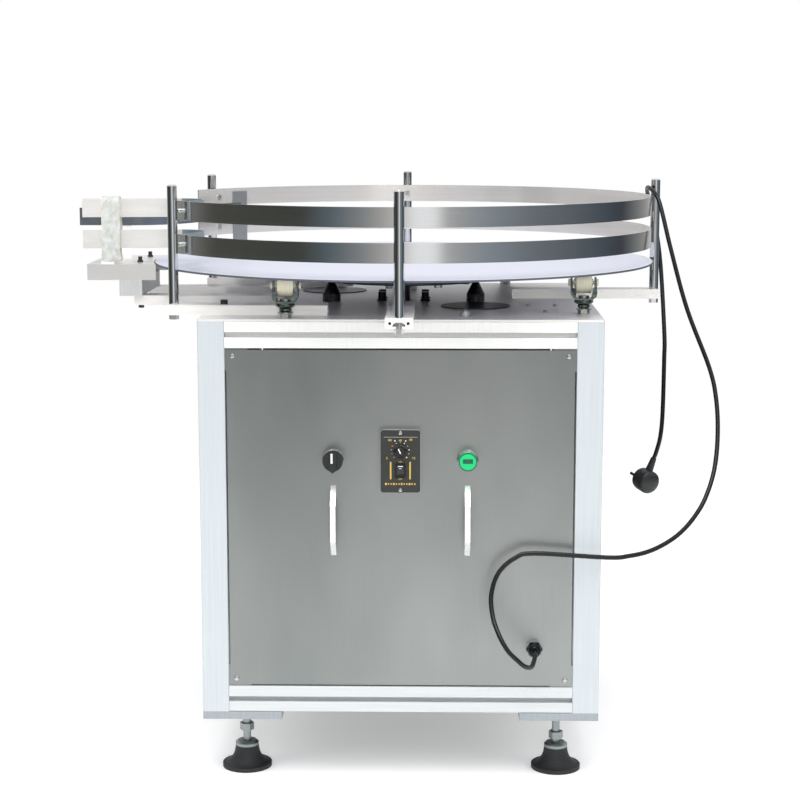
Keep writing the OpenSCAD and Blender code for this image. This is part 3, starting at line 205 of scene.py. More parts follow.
# %% [markdown]
# A pattern needs a place to live in. Object coordinates are metres from the origin,
# and they stay with a piece when it moves. Brushed lines follow a straight axis, but
# turned and rolled metal has its lines round the disc's axis, so a second helper
# gives the angle, the radius and the height instead.

# %% Helpers: places for patterns
MM = 1000  # Object coordinates are metres, so a pattern of 1 mm has a scale of 1000


def object_place(material, scale=(1, 1, 1), shift=(0, 0, 0)):
    """Object coordinates through a Mapping node, which centres and stretches them."""
    place = add_node(material, "ShaderNodeTexCoord")
    return add_node(material, "ShaderNodeMapping",
                    values={"Scale": scale, "Location": shift},
                    links={"Vector": place.outputs["Object"]}).outputs["Vector"]


def one_axis(material, vector, axis):
    """One coordinate of a vector."""
    return add_node(material, "ShaderNodeSeparateXYZ", links={0: vector}).outputs[axis]


def round_place(material, along=1, across=1, height=1):
    """Polar coordinates round the disc's axis: angle, radius and height, each scaled."""
    centred = object_place(material, shift=(-AXIS_X, 0, 0))
    split = add_node(material, "ShaderNodeSeparateXYZ", links={0: centred})
    x, y, z = split.outputs
    angle = add_node(material, "ShaderNodeMath", {"operation": "ARCTAN2"}, links={0: y, 1: x})
    square_x = add_node(material, "ShaderNodeMath", {"operation": "MULTIPLY"},
                        links={0: x, 1: x})
    both = add_node(material, "ShaderNodeMath", {"operation": "MULTIPLY_ADD"},
                    links={0: y, 1: y, 2: square_x.outputs[0]})
    radius = add_node(material, "ShaderNodeMath", {"operation": "SQRT"},
                      links={0: both.outputs[0]})
    joined = add_node(material, "ShaderNodeCombineXYZ",
                      links={0: angle.outputs[0], 1: radius.outputs[0], 2: z})
    return add_node(material, "ShaderNodeVectorMath", {"operation": "MULTIPLY"},
                    values={1: (along, across, height)}, links={0: joined.outputs[0]}).outputs[0]


def forward_place(material):
    """How far a point lies in front of the origin, which is against the Y axis."""
    return add_node(material, "ShaderNodeMath", {"operation": "MULTIPLY"}, values={1: -1.0},
                    links={0: one_axis(material, object_place(material), "Y")}).outputs[0]


print("one millimetre is a pattern scale of", MM)

# %% [markdown]
# No real surface is even. One noise does three things here: it varies the roughness,
# it raises a fine bump, and it leads the colour from a darker to a lighter tone. For
# a piece of two colours, such as a zinc plate with black bolts, the colour changes
# at a coordinate, which keeps the edge sharp and needs no second material.

# %% Helpers: grain, tones and dressing
NOISE_LOW, NOISE_HIGH = 0.3, 0.7  # nearly all of a noise lies between these two


def grain(material, vector, low, high, depth):
    """A noise that varies the roughness from low to high and raises a fine bump."""
    noise = add_node(material, "ShaderNodeTexNoise",
                     values={"Scale": 1.0, "Detail": 4.0, "Roughness": 0.6},
                     links={"Vector": vector}).outputs["Fac"]
    spread = add_node(material, "ShaderNodeMapRange",
                      values={"From Min": NOISE_LOW, "From Max": NOISE_HIGH,
                              "To Min": low, "To Max": high}, links={"Value": noise})
    to_shader(material, spread.outputs["Result"], "Roughness")
    bump = add_node(material, "ShaderNodeBump", values={"Strength": 1.0, "Distance": depth},
                    links={"Height": noise})
    to_shader(material, bump.outputs["Normal"], "Normal")
    return noise


def two_tones(material, factor, dark, light):
    """Colour between two hex values, driven by a noise."""
    ramp = add_node(material, "ShaderNodeValToRGB", links={"Fac": factor})
    for element, place, code in zip(ramp.color_ramp.elements, (NOISE_LOW, NOISE_HIGH),
                                    (dark, light)):
        element.position = place
        element.color = hex_colour(code)
    to_shader(material, ramp.outputs["Color"], "Base Color")


def split_tones(material, place, edge, code):
    """Where a coordinate lies beyond an edge, the colour changes to a hex value."""
    before = shader_of(material).inputs["Base Color"].links[0].from_socket
    beyond = add_node(material, "ShaderNodeMath", {"operation": "GREATER_THAN"},
                      values={1: edge}, links={0: place}).outputs[0]
    mix = add_node(material, "ShaderNodeMix", {"data_type": "RGBA"},
                   values={7: hex_colour(code)}, links={0: beyond, 6: before})
    to_shader(material, mix.outputs[2], "Base Color")
    return beyond


def grained(name, colour, metallic, roughness, pattern, rough, depth, tones=None, **sockets):
    """A whole finish: pattern is in waves per mm, rough is the range of roughness."""
    material = start_finish(name, colour, metallic, roughness, **sockets)
    noise = grain(material, object_place(material, scale=[MM * p for p in pattern]),
                  *rough, depth)
    if tones:
        two_tones(material, noise, *tones)
    return material


def family(start):
    """The names of all pieces that begin with the same words."""
    return [name for name in nodes if name.startswith(start)]


def dress(material, *names):
    """Gives a finish to every slot of the named pieces."""
    for name in names:
        piece = nodes[name]
        if not piece.material_slots:
            piece.data.materials.append(material)
        for slot in piece.material_slots:
            slot.material = material
    print(material.name, "on", ", ".join(names))


# %% [markdown]
# The frame and the flat arms are aluminium profile with a pale satin anodised skin.
# An oxide layer hides most of the metal's mirror, so the finish is nearly white and
# only softly glossy, with faint lines along the length that the die leaves. The real
# lines are finer than a pixel, so they are drawn as wide as a few millimetres.

# %% Satin anodised aluminium
# Nearly white with a thin clear layer, painted whiter than the posts as a painted highlight: the
# top rails catch the light from above.
anodised = grained("anodised_top_rails_painted_highlight", "F4F4F1", 0.0, 0.42, (0.25, 0.25, 0.006),
                   (0.36, 0.5), 0.00002, ("DDDEDB", "E6E6E3"),
                   Specular_IOR_Level=0.55, Coat_Weight=0.08, Coat_Roughness=0.3)
dress(anodised, "top_rails")

# A cooler grey, painted shade: the corner posts face the camera and turn away from the light.
post_painted_shade = grained("anodised_posts_painted_shade", "D6D9DB", 0.0, 0.4, (0.25, 0.25, 0.006),
                    (0.36, 0.46), 0.00001, ("B3B9BD", "BBC1C4"),
                    Specular_IOR_Level=0.5, Coat_Weight=0.06, Coat_Roughness=0.3)
dress(post_painted_shade, "corner_posts")

# The same skin near the floor, painted a darker grey as painted shade, with its lines lying along
# the rail.
low_rail_painted_shade = grained("anodised_low_rails_painted_shade", "CFD1D3", 0.0, 0.4, (0.006, 0.25, 0.25),
                   (0.36, 0.46), 0.00001, ("BBBFC1", "C4C8C9"))
dress(low_rail_painted_shade, "bottom_rails")

# A warm white with a little metal in it, painted whiter as painted light, so the arms stay bright
# in the shade below the disc.
arm_painted_light = grained("anodised_arms_painted_light", "FBF9F4", 0.25, 0.34, (0.02, 0.3, 0.3),
                   (0.3, 0.38), 0.000001, ("E6E4DF", "F0EEEA"))
dress(arm_painted_light, "support_arms")

# Duller and greyer: the channel under the tray is a folded bracket.
bracket_skin = grained("anodised_bracket", "CFD1D0", 0.3, 0.4, (0.3, 0.3, 0.02),
                       (0.34, 0.48), 0.00001, ("B8BBBA", "C6C9C7"))
dress(bracket_skin, "tray_bracket")

# Cut plate without a skin: the foot plates look darker than the profile above them.
foot_skin = grained("sawn_aluminium_plate", "A9B0B4", 0.3, 0.42, (0.3, 0.3, 0.02),
                    (0.36, 0.48), 0.00001, ("8E9599", "9DA4A8"))
dress(foot_skin, "foot_plates")

# The bars of the exit rails are the whitest metal of the machine, and matt.
bar_skin = grained("white_anodised_bar", "F6F6F4", 0.0, 0.45, (0.3, 0.3, 0.01),
                   (0.4, 0.5), 0.000002, ("F2F2F0", "FBFBF9"))
dress(bar_skin, "rail_bars")

# %% [markdown]
# The panels are cold rolled stainless sheet with a brushed face. Brushing leaves
# upright scratches, so the noise is squeezed across and stretched along Z. The
# reflection is then soft across the grain and the sheet looks grey. A second, large
# noise gives it the faint clouds of a sheet that isn't quite flat.

# %% Brushed stainless sheet
panel_steel = grained("brushed_stainless_sheet", "9B9E9E", 1.0, 0.38, (0.9, 0.9, 0.012),
                      (0.3, 0.46), 0.00001)
clouds = add_node(panel_steel, "ShaderNodeTexNoise", values={"Scale": 3.5, "Detail": 3.0},
                  links={"Vector": object_place(panel_steel, scale=(1, 1, 0.5))})
two_tones(panel_steel, clouds.outputs["Fac"], "868B8A", "A0A3A1")
dress(panel_steel, "front_panel", "rear_panel", "side_panels", "panel_gussets")

# Rolled along X and only half a mirror: the plate shows light and dark as soft areas.
plate_steel = grained("rolled_stainless_plate", "E2E0DD", 0.35, 0.34, (0.01, 0.5, 0.5),
                      (0.32, 0.42), 0.000002)
dress(plate_steel, "top_plate")

# The tray is brighter metal, so its front goes from white to grey with the room.
tray_steel = grained("folded_stainless_tray", "E4E2E0", 0.75, 0.34, (0.01, 0.6, 0.6),
                     (0.3, 0.4), 0.000002)
dress(tray_steel, "exit_tray")

# %% [markdown]
# The guide bands are polished strip rolled to a ring. The polish follows the strip,
# so its lines run round the ring: the noise lives in polar coordinates, long along
# the angle and fine over the height. Outside the band is a mirror. Its inside kept
# the satin of the mill, so there it is warmer and half as metallic.

# %% Polished band of the guide rings
RING_WALL = 0.396  # halfway through the strip, so the inner face lies below it

band_steel = start_finish("polished_stainless_band", "E0E1E2", 1.0, 0.16)
round_lines = round_place(band_steel, 1.2, 0.4 * MM, 1.1 * MM)
two_tones(band_steel, grain(band_steel, round_lines, 0.1, 0.22, 0.000003), "D4D1CC", "E2DFDA")
outside = split_tones(band_steel, one_axis(band_steel, round_place(band_steel), "Y"),
                      RING_WALL, "E0E1E2")
polish = add_node(band_steel, "ShaderNodeMapRange", values={"To Min": 0.55, "To Max": 1.0},
                  links={"Value": outside})
to_shader(band_steel, polish.outputs["Result"], "Metallic")
dress(band_steel, "upper_ring", "lower_ring")

# The tie between the rings is satin strip: upright lines, no mirror image.
tie_steel = grained("satin_stainless_tie", "A2A5A6", 0.85, 0.34, (0.3, 0.3, 0.01),
                    (0.3, 0.4), 0.000002)
dress(tie_steel, "ring_tie")

# %% [markdown]
# The near exit rails are bright strip that ends in a round nose beside the disc. The
# straight run mirrors the pale ground in front of it. The nose turns towards the dark side
# of the room, and its dark blue grey is a painted reflection. The far rail is seen from its
# inner side, and its blue grey is painted shade.

# %% Strips of the exit lane
NOSE_X = -0.288  # the round nose starts here

rail_steel = grained("bright_strip_painted_nose_reflection", "F7F6F2", 0.6, 0.3, (0.008, 0.1, 0.1),
                     (0.27, 0.33), 0.0000005, ("DEDCD8", "E9E8E4"))
# Painted reflection: beyond NOSE_X the nose is coloured dark blue grey, as the dark room it faces.
split_tones(rail_steel, one_axis(rail_steel, object_place(rail_steel), "X"), NOSE_X, "8F9BA2")
dress(rail_steel, "near_exit_rails")

# Painted shade: the far rail is coloured a darker blue grey than the near strip, for its shaded
# inner side.
far_steel = grained("stainless_strip_painted_shade", "8B949C", 1.0, 0.22, (0.008, 0.1, 0.1),
                    (0.18, 0.26), 0.0000005)
dress(far_steel, "far_exit_rail")

# %% [markdown]
# The disc still wears the thin film that protects a new sheet. The film takes away
# most of the mirror and gives a pale lilac sheen, with faint rings from turning. At
# the rim the colour turns dark grey: painted shade along the disc's edge.

# %% Filmed face of the disc
RIM_SHADE_RADIUS = 0.3997  # radius beyond which the rim is painted dark grey as painted shade

disc_steel = start_finish("filmed_stainless_disc", "CFD1DF", 0.25, 0.42)
turned = round_place(disc_steel, 0.6, 0.7 * MM, 0.1 * MM)
two_tones(disc_steel, grain(disc_steel, turned, 0.38, 0.46, 0.000001), "CBCDDB", "D3D5E3")
# Painted shade: beyond this radius the disc's edge is coloured dark grey.
split_tones(disc_steel, one_axis(disc_steel, round_place(disc_steel), "Y"), RIM_SHADE_RADIUS, "5A606B")
dress(disc_steel, "turntable_disc")

# %% [markdown]
# Posts and bezels are chrome plated rod. Chrome is almost a mirror, so it takes its
# look from the room. Tiny waves in the polish keep it from looking too perfect. The
# handles are polished bar, which is softer and whiter.

# %% Chrome and polished bar
chrome = grained("chrome_plated_rod", "D9DBDD", 1.0, 0.05, (0.03, 0.03, 0.004),
                 (0.03, 0.07), 0.0000005)
dress(chrome, "guard_posts", "selector_base", "lamp_base")

bar_steel = grained("polished_stainless_bar", "F6F6F4", 0.55, 0.24, (0.2, 0.2, 0.01),
                    (0.2, 0.3), 0.000001)
dress(bar_steel, "door_handles")

# %% [markdown]
# Screws, studs and stems are zinc plated, and the caster forks are passivated, which
# turns zinc olive. Plating from a bath is spotty: each grain of it mirrors a little
# differently, and that breaks a highlight into soft specks of about 2 mm. Bolts of
# blackened steel hold the arms and the gearbox.

# %% Zinc plated and blackened steel
SPOTS = (0.5, 0.5, 0.5)
BLACK_BOLTS = 0.06  # the bolts this near to the disc's axis, left or right, are black

# Bright, for small things that have to glint.
zinc = grained("bright_zinc_plating", "C3C5C2", 1.0, 0.28, SPOTS, (0.2, 0.4), 0.00001,
               ("A9ABA8", "D4D5D0"))
dress(zinc, "panel_screws", "ring_fixings", "hub_bolts", "caster_studs")

# Greyer and duller, as the threads of a stem hide the light.
stem_zinc = grained("grey_zinc_plating", "8E9494", 1.0, 0.34, SPOTS, (0.28, 0.42), 0.00001,
                    ("7E8484", "9EA4A4"))
dress(stem_zinc, *family("foot_stem"))

# Bright at the plate's rim, and black in the middle where the gearbox hangs.
bolt_steel = grained("zinc_and_black_bolts", "C8CAC8", 1.0, 0.28, SPOTS, (0.22, 0.36),
                     0.00001, ("B4B6B4", "DADCDA"))
middle = add_node(bolt_steel, "ShaderNodeMath", {"operation": "COMPARE"},
                  values={1: AXIS_X, 2: BLACK_BOLTS},
                  links={0: one_axis(bolt_steel, object_place(bolt_steel), "X")})
split_tones(bolt_steel, middle.outputs[0], 0.5, "2A2B2D")
dress(bolt_steel, "plate_bolts")

# Olive with larger spots: pressed sheet takes the bath unevenly.
fork_zinc = grained("olive_passivated_zinc", "66726A", 1.0, 0.26, (0.12, 0.12, 0.12),
                    (0.2, 0.34), 0.00001, ("55625A", "8A958C"))
dress(fork_zinc, *family("caster_fork"))

# Nearly black, but with the highlight of a metal.
dark_steel = grained("blackened_steel", "4A4A4C", 1.0, 0.32, (0.3, 0.3, 0.3),
                     (0.26, 0.42), 0.00001, ("3A3A3D", "5C5C5E"))
dress(dark_steel, "support_cones", "arm_bolts", "drive_shaft")

# %% [markdown]
# The black pieces differ in their sheen, and only that tells rubber from plastic in
# a photograph: the moulded feet are matt with a fine grain, the switch housings are
# satin, the cable jacket is smooth PVC, and the knob is polished.

# %% Rubber and black plastics
# Matt, with a grain that scatters the light.
rubber = grained("moulded_rubber", "17181A", 0.0, 0.62, (0.6, 0.6, 0.6),
                 (0.5, 0.72), 0.00005, ("0F1011", "26282A"))
dress(rubber, *family("foot_pad"))

# Smooth, with one thin bright line along the cable.
jacket = grained("smooth_pvc_jacket", "0C0E10", 0.0, 0.26, (0.4, 0.4, 0.4),
                 (0.22, 0.32), 0.000004, ("090B0D", "121518"), Specular_IOR_Level=0.35)
mains_lead.data.materials.append(jacket)

# Satin, as a mould with an etched wall leaves it.
housing = grained("moulded_black_plastic", "1B1C1D", 0.0, 0.4, (0.8, 0.8, 0.8),
                  (0.34, 0.48), 0.00003, ("131415", "242526"))
dress(housing, "rocker_switch", "selector_knob", "hole_covers", "power_plug")

# Polished and lacquered: the speed knob mirrors the soft boxes as small bright spots.
gloss_knob = grained("polished_black_knob", "0E0F10", 0.0, 0.14, (0.3, 0.3, 0.3),
                     (0.1, 0.2), 0.000004, ("0B0C0D", "141516"),
                     Coat_Weight=0.6, Coat_Roughness=0.06)
dress(gloss_knob, "speed_knob")

# %% [markdown]
# The gland is nickel plated brass with a black dome nut in front, and the speed
# controller is a grey enamelled case whose switch sits in a black frame. Both are
# one piece of the frame, so the colour changes where the surface lies further
# forward. The caster wheels are cast nylon, which goes cream and lets in some light.

# %% Gland, controller case and nylon wheels
DOME_FRONT, SWITCH_FRAME = 0.3035, 0.30705  # in front of the origin

gland_skin = grained("nickel_hexagon_and_black_dome", "8C9092", 0.6, 0.28, SPOTS,
                     (0.22, 0.36), 0.000004, ("7C8082", "A0A4A6"))
split_tones(gland_skin, forward_place(gland_skin), DOME_FRONT, "0E0F10")
dress(gland_skin, "cable_gland")

case_grey = grained("grey_enamelled_case", "B4B6B4", 0.4, 0.3, SPOTS,
                    (0.26, 0.38), 0.00001, ("A6A8A6", "C4C6C4"))
split_tones(case_grey, forward_place(case_grey), SWITCH_FRAME, "1A1B1C")
dress(case_grey, "speed_controller")

# Rings from the lathe run round each tread, so the pattern is fine along the axle.
nylon = grained("cast_nylon_tread", "DAD6BE", 0.0, 0.4, (0.8, 0.05, 0.05),
                (0.34, 0.5), 0.0001, ("C9C4A8", "E2DEC8"), Subsurface_Weight=0.1)
dress(nylon, *family("caster_wheel"))

# %% [markdown]
# The drive is painted: the hub and motor carry a dark blue grey hammer paint over
# cast iron, whose skin has small waves. The gearbox is bare cast aluminium, matt and
# with a sandy grain.

# %% Painted drive
paint = grained("blue_grey_machine_paint", "3A4450", 0.0, 0.35, (0.25, 0.25, 0.25),
                (0.3, 0.44), 0.00006, ("323C47", "424D5A"),
                Coat_Weight=0.3, Coat_Roughness=0.2)
dress(paint, "hub_flange", "motor")

cast = grained("cast_aluminium", "9A9C9C", 1.0, 0.5, SPOTS, (0.42, 0.6), 0.0001,
               ("858787", "ABADAC"))
dress(cast, "gearbox")

# %% [markdown]
# The lamp's lens is translucent green acrylic over a lamp. The lamp is off, and a
# little emission of its own green is painted glow that makes the lens shine.

# %% Green lens
lens_green = grained("green_acrylic_lens_painted_glow", "0FB46A", 0.0, 0.3, (0.6, 0.6, 0.6),
                     (0.14, 0.24), 0.00002, Coat_Weight=0.2, Coat_Roughness=0.2,
                     Emission_Color=hex_colour("16E08A"), Emission_Strength=0.1)
dress(lens_green, "lamp_lens")

# %% [markdown]
# A piece of our own has to be told which body it rides on and which finish it takes.
# One helper does both for every piece that follows.

# %% Helper: add a piece
def add_piece(name, mesh_source, finish, body):
    """Turns a bmesh into a piece that rides on a body."""
    mesh = bpy.data.meshes.new(name)
    mesh_source.to_mesh(mesh)
    mesh_source.free()
    mesh.materials.append(finish)
    piece = bpy.data.objects.new(name, mesh)
    scene.collection.objects.link(piece)
    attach(piece, body)
    print("piece", name, "with", len(mesh.polygons), "faces on", body)
    return piece


# %% [markdown]
# The wrap is a strip of thin white foam folded over the near rails and their bar. It
# was put on by hand, so it bulges and creases. Its section is an upside down U: up
# the front, over the top in a half circle, and down the back. The strip stands a few
# millimetres right of its plain solid, where the photograph has it.

# %% Section of the foam wrap
# The darker of the foam's two tones is painted shade, standing in for its soft folds.
foam = grained("white_foam_painted_fold_shade", "DEDCD7", 0.0, 0.75, (0.12, 0.12, 0.09),
               (0.65, 0.85), 0.0006, ("AEACA6", "D2D0CB"),
               Subsurface_Weight=0.15, Sheen_Weight=0.15)  # matt, with a soft pale rim

LEFT_SHIFT, RIGHT_SHIFT = 0.004, 0.007
WALL_ROOM = 0.0021  # kept free for the foam's own thickness and its bulges
LEG_ROWS, ARC_ROWS = 24, 12
wrap_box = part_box("foam_wrap")
low = Vector(wrap_box[0]) + Vector((LEFT_SHIFT, 0, 0))
high = Vector(wrap_box[1]) + Vector((RIGHT_SHIFT, 0, 0))
y_front, y_back = low.y + WALL_ROOM, high.y - WALL_ROOM
middle_y, fold_radius = (y_front + y_back) / 2, (y_back - y_front) / 2
fold_z = high.z - WALL_ROOM - fold_radius
leg = fold_z - low.z
profile = [(y_front, low.z + leg * k / LEG_ROWS) for k in range(LEG_ROWS + 1)]
for k in range(1, ARC_ROWS):
    angle = math.pi - math.pi * k / ARC_ROWS
    profile.append((middle_y + fold_radius * math.cos(angle),
                    fold_z + fold_radius * math.sin(angle)))
profile += [(y_back, fold_z - leg * k / LEG_ROWS) for k in range(LEG_ROWS + 1)]
print("space of the wrap", [round(v, 4) for v in (*low, *high)],
      "flat length", round(2 * leg + math.pi * fold_radius, 3), "m")

# %% [markdown]
# The section is extruded along X in small steps, which gives rows that can bend. A
# smooth noise pushes the sheet outwards in soft bulges and frays its two cut edges.
# Only then does it get its thickness, and one level of subdivision rounds the folds.

# %% Crumpled foam wrap
COLUMNS = 14
EDGE_ROOM = 0.001  # each cut edge stays this far inside, because it frays outwards
BULGE, FLARE, FRAY, FOAM_THICK = 0.0022, 0.0012, 0.0022, 0.0016

wrap = bmesh.new()
rim_verts = [wrap.verts.new((low.x + EDGE_ROOM, y, z)) for y, z in profile]
edges = [wrap.edges.new(pair) for pair in zip(rim_verts, rim_verts[1:])]
width = high.x - low.x - 2 * EDGE_ROOM
for column in range(COLUMNS):
    made = bmesh.ops.extrude_edge_only(wrap, edges=edges)
    verts = [v for v in made["geom"] if isinstance(v, bmesh.types.BMVert)]
    bmesh.ops.translate(wrap, verts=verts, vec=(width / COLUMNS, 0, 0))
    edges = [e for e in made["geom"] if isinstance(e, bmesh.types.BMEdge)
             and all(v in verts for v in e.verts)]
for v in wrap.verts:
    side = (v.co.x - low.x) / width * 2 - 1  # from -1 at the left edge to 1 at the right
    ripple = smooth_noise.noise(Vector((v.co.x * 60, v.co.z * 55, v.co.y * 90)))
    frill = smooth_noise.noise(Vector((v.co.z * 140, side * 1.5, 7.0)))
    outward = -1 if v.co.y < middle_y else 1
    v.co.y += outward * max(ripple, -0.3) * BULGE + outward * abs(side) ** 3 * FLARE
    v.co.x += frill * FRAY * abs(side)
bmesh.ops.recalc_face_normals(wrap, faces=wrap.faces)
bmesh.ops.solidify(wrap, geom=wrap.faces[:], thickness=FOAM_THICK)
foam_wrap = add_piece("crumpled_foam_wrap", wrap, foam, "cabinet")
soften = foam_wrap.modifiers.new("soft_folds", "SUBSURF")
soften.levels = soften.render_levels = 1
for face in foam_wrap.data.polygons:
    face.use_smooth = True
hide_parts("foam_wrap")

# %% [markdown]
# The speed controller carries a printed sheet with rounded corners. It is a grid of
# one face whose corners are bevelled and which is then drawn forwards, so it stands
# a hair in front of the case. Olive black with a fine orange peel, it looks softer
# than the knob in its middle.

# %% Printed sheet of the controller
FACE_Y = -0.307  # front of the controller's case
DIAL_Z, SWITCH_Z, MIDDLE_Z = 0.511, 0.482, 0.4955
SHEET_WIDTH, SHEET_HEIGHT, SHEET_CORNER, SHEET_THICK = 0.0592, 0.0942, 0.0042, 0.0003
LABEL = FACE_Y - 0.0002  # front of the sheet, whose back is sunk into the case

sheet_black = grained("olive_black_label_sheet", "3A3C38", 0.0, 0.36, (0.4, 0.4, 0.4),
                      (0.32, 0.44), 0.000006, ("292B27", "31332F"), Specular_IOR_Level=0.4)
sheet = bmesh.new()
upright = Matrix.Rotation(math.pi / 2, 4, "X")  # turns what lies flat to face the front
bmesh.ops.create_grid(sheet, x_segments=1, y_segments=1, size=0.5,
                      matrix=Matrix.Translation((AXIS_X, FACE_Y + 0.0001, MIDDLE_Z)) @ upright
                      @ Matrix.Diagonal((SHEET_WIDTH, SHEET_HEIGHT, 1, 1)))
bmesh.ops.bevel(sheet, geom=sheet.verts[:], affect="VERTICES", offset=SHEET_CORNER,
                segments=6, profile=0.5, material=-1)
lifted = bmesh.ops.extrude_face_region(sheet, geom=sheet.faces[:])
bmesh.ops.translate(sheet, vec=(0, -SHEET_THICK, 0),
                    verts=[v for v in lifted["geom"] if isinstance(v, bmesh.types.BMVert)])
bmesh.ops.recalc_face_normals(sheet, faces=sheet.faces)
add_piece("controller_label_sheet", sheet, sheet_black, "cabinet")

# %% [markdown]
# Print is a film of ink, and the knobs have pointer grooves filled with paint. Each
# mark is a very thin raised block of its own colour, set a hair in front of the
# surface that carries it. That keeps the marks sharp from every side and lets the
# pointers turn with their knobs. Screen ink is matt and a little uneven.

# %% Inks and the shapes of marks
INK = 0.0002  # thickness of a mark, more than real ink has so that it shows no gaps
PRINT = LABEL - INK  # front of the marks on the sheet


def ink(name, dark, light):
    """A flat print colour with a faint unevenness, as screen ink has."""
    return grained(name, light, 0.0, 0.5, (0.9, 0.9, 0.9), (0.45, 0.6), 0.000002,
                   (dark, light))


def block(target, x, z, w, h, front=PRINT, depth=INK, turn=0.0):
    """Adds a flat block centred at x, z with its front at the given y."""
    place = (Matrix.Translation((x + AXIS_X, front + depth / 2, z))
             @ Matrix.Rotation(turn, 4, "Y"))
    bmesh.ops.create_cube(target, size=1, matrix=place @ Matrix.Diagonal((w, depth, h, 1)))


def round_mark(target, x, z, radius, front=PRINT, depth=INK):
    """Adds a round dot that faces the front."""
    place = Matrix.Translation((x + AXIS_X, front + depth / 2, z)) @ upright
    bmesh.ops.create_cone(target, cap_ends=True, segments=16, radius1=radius, radius2=radius,
                          depth=depth, matrix=place)


gold_ink = ink("gold_screen_ink", "A8842E", "E2C068")
white_ink = ink("white_screen_ink", "E8E8E6", "FFFFFF")
red_ink = ink("red_screen_ink", "A8281C", "CC3A2A")
grey_ink = ink("grey_screen_ink", "85878A", "9A9C9E")
print("inks:", ", ".join(i.name for i in (gold_ink, white_ink, red_ink, grey_ink)))

# %% [markdown]
# Eleven dots stand round the speed knob and grow from slow to fast. Above them are
# three small signs, and below them a row of little bars takes the place of words,
# because the part carries none but ON and OFF. All distances are metres from the
# knob, the switch or the middle of the sheet.

# %% Marks of the speed dial
DOT_CIRCLE, DOTS, FIRST_DOT, DOT_STEP = 0.0132, 11, -135, 27  # the angles are degrees
SMALLEST_DOT, DOT_GROWTH = 0.00045, 0.00004
SIGNS = [(-0.0155, 0.0320, 0.0052, 0.0038), (0, 0.0316, 0.0042, 0.0034),
         (0.0156, 0.0328, 0.0044, 0.0036)]  # x, height over the middle, width and height
ROW_LEFT, ROW_STEP, ROW_BARS = -0.0215, 0.0039, 12

gold, white, red, grey = bmesh.new(), bmesh.new(), bmesh.new(), bmesh.new()
for step in range(DOTS):
    angle = math.radians(FIRST_DOT + DOT_STEP * step)
    round_mark(gold if step % 2 else white, DOT_CIRCLE * math.sin(angle),
               DIAL_Z + DOT_CIRCLE * math.cos(angle), SMALLEST_DOT + DOT_GROWTH * step)
for x, z, w, h in SIGNS:
    for k in (-1, 0, 1):
        block(gold, x + k * w * 0.36, MIDDLE_Z + z, w * 0.2, h * (1 - 0.25 * abs(k)))
for x in (-0.0081, 0.0079):
    round_mark(white, x, MIDDLE_Z + 0.031, 0.0009)
for x in (-0.0144, 0.0144):  # an upright bar on each side of the switch
    block(gold, x, SWITCH_Z - 0.0003, 0.0022, 0.0262)
for k in range(ROW_BARS):  # every third bar stands for a capital and is larger
    w, h = (0.0019, 0.0022) if k % 3 else (0.0026, 0.0032)
    block(gold, ROW_LEFT + k * ROW_STEP, MIDDLE_Z - 0.034, w, h)
round_mark(red, -0.0123, MIDDLE_Z + 0.0232, 0.0012)
block(grey, 0.0003, MIDDLE_Z + 0.0365, 0.0495, 0.0008)
for name, marks, colour in [("dial_marks_gold", gold, gold_ink),
                            ("dial_marks_white", white, white_ink),
                            ("run_mark_red", red, red_ink), ("label_rule_grey", grey, grey_ink)]:
    add_piece(name, marks, colour, "cabinet")

# %% [markdown]
# The dial's figures and the words ON and OFF are real text objects. A text object
# is turned into a mesh at once, so that its place can be written into the mesh as
# for every other piece.

# %% Figures and words
FIGURE, WORD = 0.0052, 0.0034  # heights of the letters


def lettering(name, words, x, z, height):
    """Makes a word or number as a thin mesh that faces the front."""
    letters = bpy.data.curves.new(name, "FONT")
    letters.body, letters.size, letters.extrude = words, height, INK / 2
    letters.align_x, letters.align_y = "CENTER", "CENTER"
    shape = finished_mesh(letters)
    shape.transform(Matrix.Translation((x + AXIS_X, PRINT, z)) @ upright)
    solid = bmesh.new()
    solid.from_mesh(shape)
    bmesh.ops.remove_doubles(solid, verts=solid.verts, dist=0.000001)
    add_piece(name, solid, gold_ink, "cabinet")


lettering("dial_figure_low", "0", -0.0200, DIAL_Z - 0.0107, FIGURE)
lettering("dial_figure_high", "10", 0.0196, DIAL_Z - 0.0107, FIGURE)
lettering("switch_word_on", "ON", 0, SWITCH_Z + 0.0127, WORD)
lettering("switch_word_off", "OFF", 0, SWITCH_Z - 0.0132, WORD)

# %% [markdown]
# The pointers: a white line let into the speed knob, a broad white line on the
# selector's grip, and the bar and ring of the rocker. Each rides on the part that
# turns, so it moves with it. The rocker stands tipped at rest, and its two marks are
# tipped with it.

# %% Pointers on the knobs
KNOB_FRONT, GRIP_FRONT, GROOVE = -0.3215, -0.32255, 0.0003
KNOB_TURN, KNOB_OUT = math.radians(-26), 0.0024  # the line's angle and its offset
SELECTOR_X, CONTROLS_Z = -0.1012, 0.4965
ROCKER_TILT = math.atan2(0.84, 6.99)
ROCKER_MARKS = [(0.0062, -0.30888, 0.0074, 0.0011),
                (0.0030, -0.30849, 0.0040, 0.0006)]  # height, y, width and height of a mark

